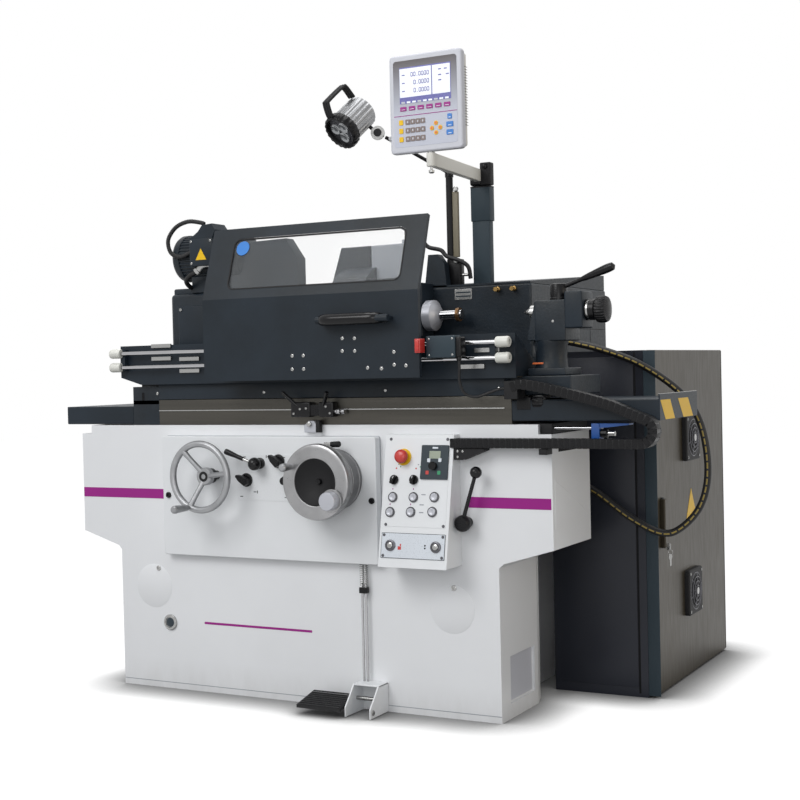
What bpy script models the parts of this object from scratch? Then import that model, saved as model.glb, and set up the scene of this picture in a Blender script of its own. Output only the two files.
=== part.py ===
"""Cylindrical grinding machine with a sliding table, a wheelhead and a control console.

Metres, +Z up, the operator stands at -Y. Shapes are drawn in shop coordinates, measured from the
front right bottom corner of the base. The last step puts the origin under the middle of the machine.
"""
import math

import bmesh
import bpy
from mathutils import Vector

for old_object in list(bpy.data.objects):
    bpy.data.objects.remove(old_object, do_unlink=True)

# ---- driving dimensions -------------------------------------------------------------------
GAP = 0.0003            # between two pieces that bear on each other
RUNNING = 0.0004        # round a shaft or a stem that moves

BASE_WIDTH = 1.377
BASE_DEPTH = 0.335
BASE_REAR = 1.12        # back of the pedestal under the wheelhead
BED_HEIGHT = 0.863
BED_DEPTH = 0.297
BED_LEFT_OVERHANG = 0.156
BED_RIGHT_OVERHANG = 0.17
BED_STEP = 0.028        # drop from the bed top to the ends of the overhangs
BED_UNDERSIDE = 0.449
OVERHANG_UNDERSIDE = 0.507
CASTING_WALL = 0.035
PEDESTAL_TOP = 0.80
PEDESTAL_RIGHT = -0.10
PEDESTAL_LEFT = -1.18
SLIDE_WAY_TOP = 0.94

PANEL_LEFT = -1.175
PANEL_RIGHT = -0.381
PANEL_TOP = 0.84
PANEL_BOTTOM = 0.445
PANEL_DEPTH = 0.03

CONSOLE_LEFT = -0.336
CONSOLE_RIGHT = -0.118
CONSOLE_TOP = 0.836
CONSOLE_TOP_DEPTH = 0.058
CONSOLE_BOTTOM_DEPTH = 0.092

TABLE_LEFT = -1.312
TABLE_RIGHT = 0.05
TABLE_DEPTH = 0.30
LOWER_TABLE_HEIGHT = 0.0817
UPPER_TABLE_HEIGHT = 0.0547
UPPER_TABLE_OVERHANG = 0.17
UPPER_TABLE_FRONT = 0.03
WAY_COVER_DEPTH = 0.35
LEFT_COVER_LENGTH = 0.285
RIGHT_COVER_LENGTH = 0.436

CENTRE_HEIGHT = 0.184   # spindle axis above the table top
CENTRE_Y = 0.10
QUILL_RADIUS = 0.020

WHEEL_RADIUS = 0.16
WHEEL_WIDTH = 0.04
WHEEL_Y = 0.33
WHEEL_X = -0.595
SPINDLE_RADIUS = 0.03
WHEELHEAD_LEFT = -0.50
WHEELHEAD_RIGHT = -0.03
WHEELHEAD_FRONT = 0.35
WHEELHEAD_REAR = 1.02
WHEELHEAD_TOP = 1.286

RAIL_RADIUS = 0.006
RAIL_Y = -0.045
RAIL_HEIGHTS = (1.054, 1.099)
RAIL_PLATE_FRONT = -0.020
RAIL_PLATE_THICKNESS = 0.008
RAIL_PLATE_LEFT = -1.343
RAIL_PLATE_RIGHT = 0.074
CAP_RADIUS = 0.0155
CAP_LENGTH = 0.042

DOOR_LEFT = -0.930
DOOR_RIGHT = -0.178
DOOR_BOTTOM = 1.003
DOOR_BEND = 1.2547
DOOR_TOP = 1.476
DOOR_FRONT = -0.124
DOOR_TOP_FRONT = -0.049
DOOR_SHEET = 0.004
DOOR_FLANGE = 0.014

TABLE_WHEEL_X = -0.96
TABLE_WHEEL_Z = 0.706
TABLE_WHEEL_RADIUS = 0.105
TABLE_WHEEL_Y = -0.12
INFEED_X = -0.52
INFEED_Z = 0.70
INFEED_RADIUS = 0.108
DRUM_RADIUS = 0.098
DRUM_FRONT = -0.118

BUTTON_RADIUS = 0.011
BUTTON_TRAVEL = 0.004
CABINET_LEFT = -0.020
CABINET_RIGHT = 0.31
CABINET_FRONT = 0.462
CABINET_REAR = 1.262
CABINET_HEIGHT = 1.069
CABINET_WALL = 0.004
DOOR_PANEL = 0.014
DOOR_RIM = 0.0094
DOOR_SKIN = 0.003

CHAIN_FRONT = -0.047
CHAIN_BACK = -0.006
CHAIN_THICKNESS = 0.031
HOSE_RADIUS = 0.011
FREE_CORDS = ("coolant_hose",)
HOSE_Y = 0.41
COLUMN_TOP = 1.607

# ---- finishes: colour, roughness, metallic -------------------------------------------------
WHITE = ((0.78, 0.79, 0.79), 0.45, 0.0)
SLATE = ((0.045, 0.055, 0.068), 0.5, 0.0)
BLACK = ((0.012, 0.012, 0.013), 0.45, 0.0)
STEEL = ((0.42, 0.41, 0.38), 0.35, 1.0)
CHROME = ((0.75, 0.75, 0.76), 0.15, 1.0)
SILVER = ((0.5, 0.5, 0.52), 0.35, 0.8)
ABRASIVE = ((0.72, 0.70, 0.66), 0.9, 0.0)
GLASS = ((0.75, 0.80, 0.82), 0.08, 0.0)
RED = ((0.60, 0.02, 0.02), 0.4, 0.0)
BLUE = ((0.03, 0.17, 0.50), 0.45, 0.0)
GREY = ((0.62, 0.63, 0.66), 0.45, 0.0)

# ---- derived places ------------------------------------------------------------------------
TABLE_BOTTOM = BED_HEIGHT + GAP
LOWER_TABLE_TOP = TABLE_BOTTOM + LOWER_TABLE_HEIGHT
TABLE_TOP = LOWER_TABLE_TOP + GAP + UPPER_TABLE_HEIGHT
CENTRE_Z = TABLE_TOP + CENTRE_HEIGHT
PANEL_FRONT = -PANEL_DEPTH
CONSOLE_SLOPE = (CONSOLE_BOTTOM_DEPTH - CONSOLE_TOP_DEPTH) / (CONSOLE_TOP - BED_UNDERSIDE)
CONSOLE_NORMAL = Vector((0.0, -1.0, CONSOLE_SLOPE)).normalized()


# ---- shapes --------------------------------------------------------------------------------
def solid_from(mesh_builder):
    """Turn a bmesh into an object whose faces point outwards."""
    bmesh.ops.recalc_face_normals(mesh_builder, faces=mesh_builder.faces)
    mesh = bpy.data.meshes.new("solid")
    mesh_builder.to_mesh(mesh)
    mesh_builder.free()
    solid = bpy.data.objects.new("solid", mesh)
    bpy.context.scene.collection.objects.link(solid)
    return solid


def prism(outline, axis, low, high, edge_round=0.0, segments=2):
    """Extrude a closed outline, drawn in the two other axes in X, Y, Z order, along an axis."""
    builder = bmesh.new()
    along = "XYZ".index(axis)
    across = [index for index in range(3) if index != along]
    corners = []
    for first, second in outline:
        place = [0.0, 0.0, 0.0]
        place[across[0]], place[across[1]], place[along] = first, second, low
        corners.append(builder.verts.new(place))
    start = builder.faces.new(corners)
    grown = bmesh.ops.extrude_face_region(builder, geom=[start])
    shift = Vector((0.0, 0.0, 0.0))
    shift[along] = high - low
    moved = [item for item in grown["geom"] if isinstance(item, bmesh.types.BMVert)]
    bmesh.ops.translate(builder, vec=shift, verts=moved)
    if edge_round:
        bmesh.ops.bevel(builder, geom=list(builder.edges), offset=edge_round, segments=segments,
                        profile=0.5, affect="EDGES", clamp_overlap=True)
    return solid_from(builder)


def block(low, high, edge_round=0.0, segments=2):
    """A box between two corners."""
    outline = [(low[0], low[1]), (high[0], low[1]), (high[0], high[1]), (low[0], high[1])]
    return prism(outline, "Z", low[2], high[2], edge_round, segments)


def rounded(outline, radius, steps=4):
    """The outline with every corner replaced by an arc of the given radius."""
    result = []
    count = len(outline)
    for index, corner in enumerate(outline):
        here = Vector(corner)
        before = (Vector(outline[index - 1]) - here).normalized()
        after = (Vector(outline[(index + 1) % count]) - here).normalized()
        half = before.angle(after) / 2
        reach = radius / math.tan(half)
        centre = here + (before + after).normalized() * radius / math.sin(half)
        begin = here + before * reach - centre
        finish = here + after * reach - centre
        turn = begin.angle_signed(finish)
        for step in range(steps + 1):
            angle = -turn * step / steps
            result.append((centre.x + begin.x * math.cos(angle) - begin.y * math.sin(angle),
                           centre.y + begin.x * math.sin(angle) + begin.y * math.cos(angle)))
    return result


def turned(profile, centre, direction, sides=24):
    """Turn a profile of (radius, distance along the axis) round an axis through centre."""
    builder = bmesh.new()
    frame = Vector(direction).to_track_quat("Z", "Y").to_matrix()
    origin = Vector(centre)
    rings = []
    for radius, along in profile:
        if radius < 1e-9:
            rings.append([builder.verts.new(origin + frame @ Vector((0.0, 0.0, along)))])
            continue
        ring = []
        for side in range(sides):
            angle = 2 * math.pi * side / sides
            local = Vector((radius * math.cos(angle), radius * math.sin(angle), along))
            ring.append(builder.verts.new(origin + frame @ local))
        rings.append(ring)
    for inner, outer in zip(rings, rings[1:]):
        for side in range(sides):
            following = (side + 1) % sides
            if len(inner) == 1:
                builder.faces.new((inner[0], outer[side], outer[following]))
            elif len(outer) == 1:
                builder.faces.new((inner[side], inner[following], outer[0]))
            else:
                builder.faces.new((inner[side], inner[following], outer[following], outer[side]))
    return solid_from(builder)


def rod(start, end, radius, sides=16, end_radius=None):
    """A round bar between two points, tapered when end_radius is given."""
    axis = Vector(end) - Vector(start)
    last = radius if end_radius is None else end_radius
    return turned([(0, 0), (radius, 0), (last, axis.length), (0, axis.length)], start, axis, sides)


def ball(centre, radius, sides=14):
    """A sphere turned from a half circle."""
    steps = sides // 2
    profile = []
    for step in range(steps + 1):
        angle = math.pi * step / steps
        reach = 0.0 if step in (0, steps) else radius * math.sin(angle)
        profile.append((reach, -radius * math.cos(angle)))
    return turned(profile, centre, (0, 0, 1), sides)


def rim(centre, direction, radius, thickness, around=36, tube_sides=8):
    """A round hoop across the given direction."""
    builder = bmesh.new()
    frame = Vector(direction).to_track_quat("Z", "Y").to_matrix()
    rings = []
    for step in range(around):
        angle = 2 * math.pi * step / around
        ring = []
        for side in range(tube_sides):
            turn = 2 * math.pi * side / tube_sides
            reach = radius + thickness * math.cos(turn)
            local = Vector((reach * math.cos(angle), reach * math.sin(angle), thickness * math.sin(turn)))
            ring.append(builder.verts.new(Vector(centre) + frame @ local))
        rings.append(ring)
    for step in range(around):
        here, there = rings[step], rings[(step + 1) % around]
        for side in range(tube_sides):
            following = (side + 1) % tube_sides
            builder.faces.new((here[side], here[following], there[following], there[side]))
    return solid_from(builder)


def beam(start, end, width, height):
    """A flat bar of rectangular section whose centre line joins two points at one height."""
    first, last = Vector(start), Vector(end)
    along = (last - first).normalized()
    across = Vector((-along.y, along.x, 0.0)) * width / 2
    low, high = first.z - height / 2, first.z + height / 2
    corners = [first - across, last - across, last + across, first + across]
    return prism([(corner.x, corner.y) for corner in corners], "Z", low, high)


def combine(solid, tools, operation):
    """Apply Boolean tools to a solid one after another and remove the tools."""
    for tool in tools:
        step = solid.modifiers.new("step", "BOOLEAN")
        step.operation = operation
        step.solver = "EXACT"
        step.object = tool
        graph = bpy.context.evaluated_depsgraph_get()
        solid.data = bpy.data.meshes.new_from_object(solid.evaluated_get(graph))
        solid.modifiers.clear()
        bpy.data.objects.remove(tool, do_unlink=True)
    return solid


def joined(solid, *others):
    """One solid made of several that overlap."""
    return combine(solid, others, "UNION")


def cut(solid, *tools):
    """The solid without the space of the tools."""
    return combine(solid, tools, "DIFFERENCE")


def smooth_route(points, spacing):
    """Evenly spaced points on a Catmull-Rom curve through the given points."""
    route = [Vector(point) for point in points]
    padded = [route[0] * 2 - route[1]] + route + [route[-1] * 2 - route[-2]]
    fine = []
    for index in range(1, len(padded) - 2):
        p0, p1, p2, p3 = padded[index - 1:index + 3]
        for step in range(24):
            t = step / 24
            fine.append(0.5 * (2 * p1 + (p2 - p0) * t + (2 * p0 - 5 * p1 + 4 * p2 - p3) * t ** 2
                               + (3 * p1 - p0 - 3 * p2 + p3) * t ** 3))
    fine.append(route[-1])
    length = sum((b - a).length for a, b in zip(fine, fine[1:]))
    count = max(2, round(length / spacing))
    result = [fine[0]]
    travelled, wanted = 0.0, 1
    for a, b in zip(fine, fine[1:]):
        stretch = (b - a).length
        while wanted < count and travelled + stretch >= length * wanted / count:
            result.append(a.lerp(b, (length * wanted / count - travelled) / stretch))
            wanted += 1
        travelled += stretch
    result.append(fine[-1])
    return result


# ---- bodies and parts ----------------------------------------------------------------------
PIVOTS = {}


def body(name, pivot=(0, 0, 0), parent="machine"):
    """An empty on the joint axis that carries the pieces moving together."""
    empty = bpy.data.objects.new(name + "_pivot", None)
    bpy.context.scene.collection.objects.link(empty)
    place = Vector(pivot)
    if parent in PIVOTS:
        empty.parent, parent_place = PIVOTS[parent]
        empty.location = place - parent_place
    else:
        empty.location = place
    PIVOTS[name] = (empty, place)


def finish_material(name, finish):
    """A Principled material of one piece."""
    material = bpy.data.materials.new(name + "_finish")
    material.use_nodes = True
    shader = material.node_tree.nodes["Principled BSDF"]
    colour, roughness, metallic = finish
    shader.inputs["Base Color"].default_value = (*colour, 1.0)
    shader.inputs["Roughness"].default_value = roughness
    shader.inputs["Metallic"].default_value = metallic
    return material


def part(name, solid, body_name, finish):
    """Name a solid, give it its material and hang it on its body's empty."""
    empty, place = PIVOTS[body_name]
    solid.name = name
    solid.data.name = name
    for vertex in solid.data.vertices:
        vertex.co -= place
    solid.data.materials.clear()
    solid.data.materials.append(finish_material(name, finish))
    solid.data.shade_smooth()
    solid.data.set_sharp_from_angle(angle=math.radians(32))
    solid.parent = empty
    return solid


def cord(name, points, radius, body_name, finish, bevel_resolution=3):
    """A round cord whose first and last spans are straight and the rest smooth, with filled ends."""
    empty, place = PIVOTS[body_name]
    curve = bpy.data.curves.new(name, "CURVE")
    curve.dimensions = "3D"
    curve.bevel_depth = radius
    curve.bevel_resolution = bevel_resolution
    curve.use_fill_caps = True
    route = [Vector(points[0])] + smooth_route(points[1:-1], radius * 5) + [Vector(points[-1])]
    spline = curve.splines.new("POLY")
    spline.points.add(len(route) - 1)
    for spot, point in zip(spline.points, route):
        spot.co = (*(point - place), 1.0)
    curve.materials.append(finish_material(name, finish))
    cord_object = bpy.data.objects.new(name, curve)
    bpy.context.scene.collection.objects.link(cord_object)
    cord_object.parent = empty


def console_point(x, z, lift=0.0):
    """A point on the sloping front of the console, lifted off it."""
    y = -CONSOLE_BOTTOM_DEPTH + (z - BED_UNDERSIDE) * CONSOLE_SLOPE
    return Vector((x, y, z)) + CONSOLE_NORMAL * lift


# ---- bed -----------------------------------------------------------------------------------
def make_bed():
    wall = CASTING_WALL
    chamfer_start = BASE_DEPTH - 0.063
    ground = [(-BASE_WIDTH, 0), (0, 0), (0, chamfer_start), (-0.02, BASE_DEPTH),
              (PEDESTAL_RIGHT, BASE_DEPTH), (PEDESTAL_RIGHT, BASE_REAR), (PEDESTAL_LEFT, BASE_REAR),
              (PEDESTAL_LEFT, BASE_DEPTH), (-BASE_WIDTH, BASE_DEPTH)]
    base = prism(ground, "Z", 0, 0.60)
    left, right = -BASE_WIDTH - BED_LEFT_OVERHANG, BED_RIGHT_OVERHANG
    step_top = BED_HEIGHT - BED_STEP
    upper = prism([(-BASE_WIDTH, BED_UNDERSIDE), (-BASE_WIDTH - 0.012, BED_UNDERSIDE + 0.013),
                   (left, OVERHANG_UNDERSIDE), (left, step_top), (left + 0.04, step_top),
                   (left + 0.04, BED_HEIGHT), (right - 0.04, BED_HEIGHT), (right - 0.04, step_top),
                   (right, step_top), (right, OVERHANG_UNDERSIDE), (0.015, BED_UNDERSIDE + 0.013),
                   (0, BED_UNDERSIDE)], "Y", 0, BED_DEPTH)
    pedestal = block((PEDESTAL_LEFT, BED_DEPTH + 0.06, 0.55), (PEDESTAL_RIGHT, BASE_REAR, PEDESTAL_TOP))
    slide_way = block((WHEELHEAD_LEFT, 0.40, PEDESTAL_TOP - 0.05),
                      (PEDESTAL_RIGHT - 0.01, 1.10, SLIDE_WAY_TOP))
    bed = joined(base, upper, pedestal, slide_way)
    front_hollow = block((-BASE_WIDTH + wall, wall, -0.01), (-wall, BED_DEPTH - wall, BED_HEIGHT - 0.063))
    rear_hollow = block((PEDESTAL_LEFT + wall, BASE_DEPTH + 0.045, -0.01),
                        (PEDESTAL_RIGHT - wall, BASE_REAR - wall, PEDESTAL_TOP - 0.10))
    recess = block((-0.008, 0.066, 0.045), (0.01, 0.244, 0.183))
    part("bed_casting", cut(bed, front_hollow, rear_hollow, recess), "machine", WHITE)


def make_front_panel():
    low, high = (PANEL_LEFT, PANEL_FRONT, PANEL_BOTTOM), (PANEL_RIGHT, -GAP, PANEL_TOP)
    part("front_panel", block(low, high, 0.003), "machine", WHITE)


# ---- console -------------------------------------------------------------------------------
BUTTON_PLACES = {"start_button": (-0.304, 0.655), "coolant_button": (-0.236, 0.656),
                 "reset_button": (-0.168, 0.658), "wheel_button": (-0.310, 0.611),
                 "work_button": (-0.242, 0.613), "stop_button": (-0.172, 0.615)}
SWITCH_PLACES = {"left_selector": (-0.303, 0.704), "right_selector": (-0.238, 0.705)}
STOP_PLACE = (-0.268, 0.772)
STOP_STEM = 0.012


def make_console():
    side = [(-CONSOLE_BOTTOM_DEPTH, BED_UNDERSIDE), (-GAP, BED_UNDERSIDE),
            (-GAP, CONSOLE_TOP), (-CONSOLE_TOP_DEPTH, CONSOLE_TOP)]
    console = prism(side, "X", CONSOLE_LEFT, CONSOLE_RIGHT, 0.003)
    sockets = []
    for x, z in BUTTON_PLACES.values():
        sockets.append(rod(console_point(x, z, -0.016), console_point(x, z, 0.01),
                           BUTTON_RADIUS + 2 * RUNNING))
    sockets.append(rod(console_point(*STOP_PLACE, -0.016), console_point(*STOP_PLACE, 0.01),
                       STOP_STEM + RUNNING))
    part("control_console", cut(console, *sockets), "machine", WHITE)
    for name, (x, z) in BUTTON_PLACES.items():
        body(name, console_point(x, z))
        profile = [(0, -0.016 + BUTTON_TRAVEL + 0.001), (BUTTON_RADIUS, -0.016 + BUTTON_TRAVEL + 0.001),
                   (BUTTON_RADIUS, 0.0065), (BUTTON_RADIUS - 0.0015, 0.008), (0, 0.008)]
        part(name, turned(profile, console_point(x, z), CONSOLE_NORMAL, 16), name, BLACK)
    for name, (x, z) in SWITCH_PLACES.items():
        body(name, console_point(x, z))
        foot = console_point(x, z)
        knob = turned([(0, GAP), (0.014, GAP), (0.014, 0.006), (0.012, 0.008), (0, 0.008)], foot, CONSOLE_NORMAL, 24)
        grip = block((x - 0.0032, foot.y - 0.022, z - 0.012), (x + 0.0032, foot.y - 0.004, z + 0.012), 0.001, 1)
        part(name, joined(knob, grip), name, BLACK)
    body("emergency_stop", console_point(*STOP_PLACE))
    mushroom = [(0, -0.009), (STOP_STEM, -0.009), (STOP_STEM, 0.012), (0.020, 0.014), (0.020, 0.022),
                (0.017, 0.028), (0.010, 0.031), (0, 0.032)]
    part("emergency_stop", turned(mushroom, console_point(*STOP_PLACE), CONSOLE_NORMAL), "emergency_stop", RED)


# ---- controls on the front panel --------------------------------------------------------------
def make_table_handwheel():
    centre = Vector((TABLE_WHEEL_X, TABLE_WHEEL_Y, TABLE_WHEEL_Z))
    body("table_handwheel", centre)
    shaft_length = PANEL_FRONT - GAP - TABLE_WHEEL_Y
    hub = turned([(0, -0.016), (0.018, -0.016), (0.024, -0.010), (0.024, 0.022), (0.014, 0.030),
                  (0.014, shaft_length), (0, shaft_length)], centre, (0, 1, 0))
    spokes = []
    for degrees in (7, 127, 247):
        angle = math.radians(degrees)
        tip = centre + Vector((math.cos(angle), 0, math.sin(angle))) * TABLE_WHEEL_RADIUS
        spokes.append(rod(centre + Vector((0, 0.004, 0)), tip, 0.008, 12, 0.006))
    handle_angle = math.radians(247)
    foot = centre + Vector((math.cos(handle_angle), 0, math.sin(handle_angle))) * TABLE_WHEEL_RADIUS
    grip = turned([(0, 0), (0.006, 0), (0.006, 0.012), (0.011, 0.018), (0.012, 0.040), (0.008, 0.064),
                   (0.004, 0.068), (0, 0.069)], foot, (0, -1, 0), 20)
    hoop = rim(centre, (0, 1, 0), TABLE_WHEEL_RADIUS, 0.009)
    part("table_handwheel", joined(hoop, hub, *spokes, grip), "table_handwheel", SILVER)


def make_infeed_controls():
    centre = Vector((INFEED_X, 0, INFEED_Z))
    drum = [(0, PANEL_FRONT - GAP), (DRUM_RADIUS - 0.004, PANEL_FRONT - GAP), (DRUM_RADIUS, PANEL_FRONT - 0.006),
            (DRUM_RADIUS, DRUM_FRONT + 0.004), (DRUM_RADIUS - 0.004, DRUM_FRONT), (0, DRUM_FRONT)]
    part("infeed_drum", turned(drum, centre, (0, 1, 0), 36), "machine", SILVER)
    body("infeed_handwheel", centre + Vector((0, DRUM_FRONT, 0)))
    back = DRUM_FRONT - GAP
    wheel = turned([(0, back), (INFEED_RADIUS - 0.012, back), (INFEED_RADIUS, back - 0.006),
                    (INFEED_RADIUS, back - 0.031), (INFEED_RADIUS - 0.004, back - 0.036),
                    (0.076, back - 0.036), (0.072, back - 0.033), (0.066, back - 0.017), (0.03, back - 0.013),
                    (0, back - 0.013)], centre, (0, 1, 0), 36)
    turn = math.radians(150)
    foot = centre + Vector((0.090 * math.cos(turn), back - 0.034, 0.090 * math.sin(turn)))
    handle = turned([(0, 0), (0.006, 0), (0.007, 0.040), (0.0095, 0.048), (0.0095, 0.054), (0.006, 0.058),
                     (0, 0.058)], foot, (0, -1, 0), 16)
    part("infeed_handwheel", joined(wheel, handle), "infeed_handwheel", SILVER)
    knob_foot = centre + Vector((0.062, back - 0.036 - GAP, -0.052))
    body("fine_feed_knob", knob_foot, "infeed_handwheel")
    knob = turned([(0, 0), (0.027, 0), (0.027, 0.012), (0.023, 0.015), (0.023, 0.036), (0.021, 0.038),
                   (0, 0.038)], knob_foot, (0, -1, 0))
    part("fine_feed_knob", knob, "fine_feed_knob", CHROME)


def make_panel_levers():
    hub_centre = Vector((-0.793, -0.064, 0.745))
    body("traverse_lever", hub_centre)
    stem = rod((hub_centre.x, PANEL_FRONT - GAP, hub_centre.z), hub_centre, 0.011)
    arm = rod(hub_centre, (-0.894, -0.072, 0.784), 0.0075, 16, 0.011)
    part("traverse_lever", joined(ball(hub_centre, 0.018), stem, arm), "traverse_lever", BLACK)
    for name, (x, z) in {"feed_mode_knob": (-0.845, 0.692), "dwell_knob": (-0.724, 0.752)}.items():
        foot = Vector((x, PANEL_FRONT - GAP, z))
        body(name, foot)
        knob = turned([(0, 0), (0.019, 0), (0.019, 0.016), (0.016, 0.020), (0, 0.020)], foot, (0, -1, 0), 24)
        pointer = prism([(x - 0.006, z + 0.016), (x - 0.024, z + 0.020), (x - 0.004, z - 0.020),
                         (x + 0.012, z - 0.012)], "Y", foot.y - 0.030, foot.y - 0.010)
        part(name, joined(knob, pointer), name, BLACK)
    hub = Vector((-0.094, -0.042, 0.580))
    body("hand_lever", hub)
    boss = turned([(0, 0.042 - GAP), (0.021, 0.042 - GAP), (0.021, -0.006), (0.016, -0.012), (0, -0.012)],
                  hub, (0, 1, 0), 28)
    tip = Vector((-0.047, -0.042, 0.728))
    part("hand_lever", joined(boss, rod(hub, tip, 0.0048, 14), ball(tip, 0.0155)), "hand_lever", BLACK)


def make_reversing_bracket():
    floor = PANEL_TOP + GAP
    plate = block((-0.632, -0.026, floor), (-0.592, -GAP, 0.872), 0.002, 1)
    post = block((-0.593, -0.024, floor), (-0.577, -0.008, 0.878), 0.002, 1)
    part("reversing_bracket", joined(plate, post), "machine", SILVER)


# ---- table ---------------------------------------------------------------------------------
def make_table():
    body("table")
    lower = block((TABLE_LEFT, 0, TABLE_BOTTOM), (TABLE_RIGHT, TABLE_DEPTH, LOWER_TABLE_TOP))
    end_block = block((TABLE_LEFT, 0.0, TABLE_BOTTOM + 0.001), (TABLE_LEFT + 0.107, UPPER_TABLE_FRONT - 0.002, 0.989))
    chain_foot = block((TABLE_RIGHT - 0.020, -0.045, LOWER_TABLE_TOP - 0.010), (0.072, 0.012, LOWER_TABLE_TOP + 0.040))
    slot = block((TABLE_LEFT + 0.107, -0.01, 0.908), (TABLE_RIGHT + 0.01, 0.004, 0.916))
    part("lower_table", cut(joined(lower, end_block, chain_foot), slot), "table", STEEL)
    upper = block((TABLE_LEFT + 0.012, UPPER_TABLE_FRONT, LOWER_TABLE_TOP + GAP),
                  (TABLE_RIGHT + UPPER_TABLE_OVERHANG, 0.27, TABLE_TOP), 0.003)
    part("upper_table", upper, "table", SLATE)
    left = TABLE_LEFT - GAP
    part("left_way_cover", block((left - LEFT_COVER_LENGTH, 0, 0.866), (left, WAY_COVER_DEPTH, 0.924), 0.003),
         "table", SLATE)
    right = TABLE_RIGHT + GAP
    cover = block((right, 0, 0.873), (right + RIGHT_COVER_LENGTH - 0.002, WAY_COVER_DEPTH - 0.002, 0.932), 0.003)
    end_plate = block((right + RIGHT_COVER_LENGTH - 0.004, 0, 0.8735),
                      (right + RIGHT_COVER_LENGTH, WAY_COVER_DEPTH, 0.945))
    part("right_way_cover", joined(cover, end_plate), "table", SLATE)


def make_table_dogs():
    left = block((-0.675, -0.034, 0.886), (-0.572, -GAP, 0.936), 0.003)
    right = block((-0.580, -0.030, 0.890), (-0.455, -GAP - 0.001, 0.931))
    screw = rod((-0.470, -0.016, 0.904), (-0.430, -0.016, 0.904), 0.009, 12)
    left_lever = rod((-0.652, -0.028, 0.915), (-0.698, -0.045, 0.966), 0.0045, 12)
    right_lever = rod((-0.560, -0.026, 0.915), (-0.536, -0.045, 0.964), 0.0055, 12)
    part("table_dogs", joined(left, right, screw, left_lever, right_lever), "table", BLACK)


def make_workhead():
    axis = Vector((0, CENTRE_Y, CENTRE_Z))
    low, high = (-1.15, 0.04, TABLE_TOP + GAP), (-0.83, 0.22, 1.29)
    bore = rod(axis + Vector((-0.90, 0, 0)), axis + Vector((-0.80, 0, 0)), SPINDLE_RADIUS + RUNNING, 32)
    part("workhead_body", cut(block(low, high, 0.006), bore), "table", SLATE)
    body("workhead_spindle", axis + Vector((high[0], 0, 0)), "table")
    face = high[0] + GAP
    spindle = turned([(0, -0.895), (SPINDLE_RADIUS, -0.895), (SPINDLE_RADIUS, face), (0.055, face),
                      (0.055, face + 0.022), (0.032, face + 0.026), (0.028, face + 0.050), (0.018, face + 0.052),
                      (0.015, face + 0.062), (0, face + 0.088)], axis, (1, 0, 0))
    part("workhead_spindle", spindle, "workhead_spindle", CHROME)
    motor_z = 1.407
    motor = turned([(0, -1.190), (0.040, -1.188), (0.066, -1.178), (0.077, -1.160), (0.077, -0.905),
                    (0.072, -0.900), (0, -0.900)], (0, CENTRE_Y, motor_z), (1, 0, 0))
    foot = block((-1.10, CENTRE_Y - 0.05, high[2] + GAP), (-0.95, CENTRE_Y + 0.05, motor_z - 0.04))
    terminal_box = block((-1.065, -0.005, 1.372), (-0.972, CENTRE_Y - 0.03, 1.478), 0.004)
    gland = rod((-1.04, 0.02, 1.47), (-1.04, 0.02, 1.51), 0.010)
    part("workhead_motor", joined(motor, foot, terminal_box, gland), "table", SLATE)
    loop = [(-1.04, 0.02, 1.51 + GAP), (-1.04, 0.02, 1.524), (-1.055, 0.019, 1.541), (-1.085, 0.017, 1.543),
            (-1.127, 0.014, 1.524), (-1.157, 0.014, 1.490), (-1.162, 0.014, 1.456), (-1.142, 0.014, 1.432),
            (-1.105, 0.014, 1.428), (-1.080, 0.014, 1.428), (-1.065 - GAP, 0.014, 1.428)]
    cord("workhead_conduit", loop, 0.0065, "table", BLACK)


def make_tailstock():
    axis = Vector((0, CENTRE_Y, CENTRE_Z))
    foot = block((0.085, 0.04, TABLE_TOP + GAP), (0.20, 0.17, TABLE_TOP + 0.022), 0.002, 1)
    pedestal = turned([(0, 0.015), (0.050, 0.015), (0.046, 0.060), (0.050, 0.102), (0, 0.102)],
                      (0.135, CENTRE_Y, TABLE_TOP), (0, 0, 1), 28)
    head = block((0.104, 0.05, TABLE_TOP + 0.098), (0.20, 0.165, 1.2148), 0.003)
    flare = prism([(0.110, 1.214), (0.104, 1.214), (0.080, 1.110), (0.080, 1.100), (0.110, 1.100)], "Y", 0.055, 0.16)
    cover = block((0.195, 0.05, 1.133), (0.25, 0.14, 1.238), 0.003)
    bore = rod(axis + Vector((0.06, 0, 0)), axis + Vector((0.185, 0, 0)), QUILL_RADIUS + RUNNING, 32)
    part("tailstock_body", cut(joined(foot, pedestal, head, flare, cover), bore), "table", SLATE)
    body("tailstock_quill", axis + Vector((0.104, 0, 0)), "table")
    quill = turned([(0, 0.050), (0.009, 0.066), (0.009, 0.072), (QUILL_RADIUS, 0.078), (QUILL_RADIUS, 0.180),
                    (0, 0.180)], axis, (1, 0, 0))
    part("tailstock_quill", quill, "tailstock_quill", CHROME)
    knob_foot = Vector((0.25 + GAP, 0.09, CENTRE_Z))
    body("tailstock_knob", knob_foot, "table")
    knob = turned([(0, 0), (0.020, 0), (0.020, 0.046), (0.036, 0.050), (0.037, 0.070), (0.030, 0.079),
                   (0, 0.082)], knob_foot, (1, 0, 0))
    part("tailstock_knob", knob, "tailstock_knob", BLACK)
    lever_foot = Vector((0.165, 0.09, 1.2148 + GAP))
    body("tailstock_lever", lever_foot, "table")
    column = turned([(0, 0), (0.024, 0), (0.024, 0.044), (0.020, 0.048), (0, 0.048)], lever_foot, (0, 0, 1), 28)
    start = lever_foot + Vector((0, 0, 0.032))
    arm = rod(start, (0.34, 0.078, 1.305), 0.006, 16, 0.011)
    part("tailstock_lever", joined(column, arm), "tailstock_lever", BLACK)


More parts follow.
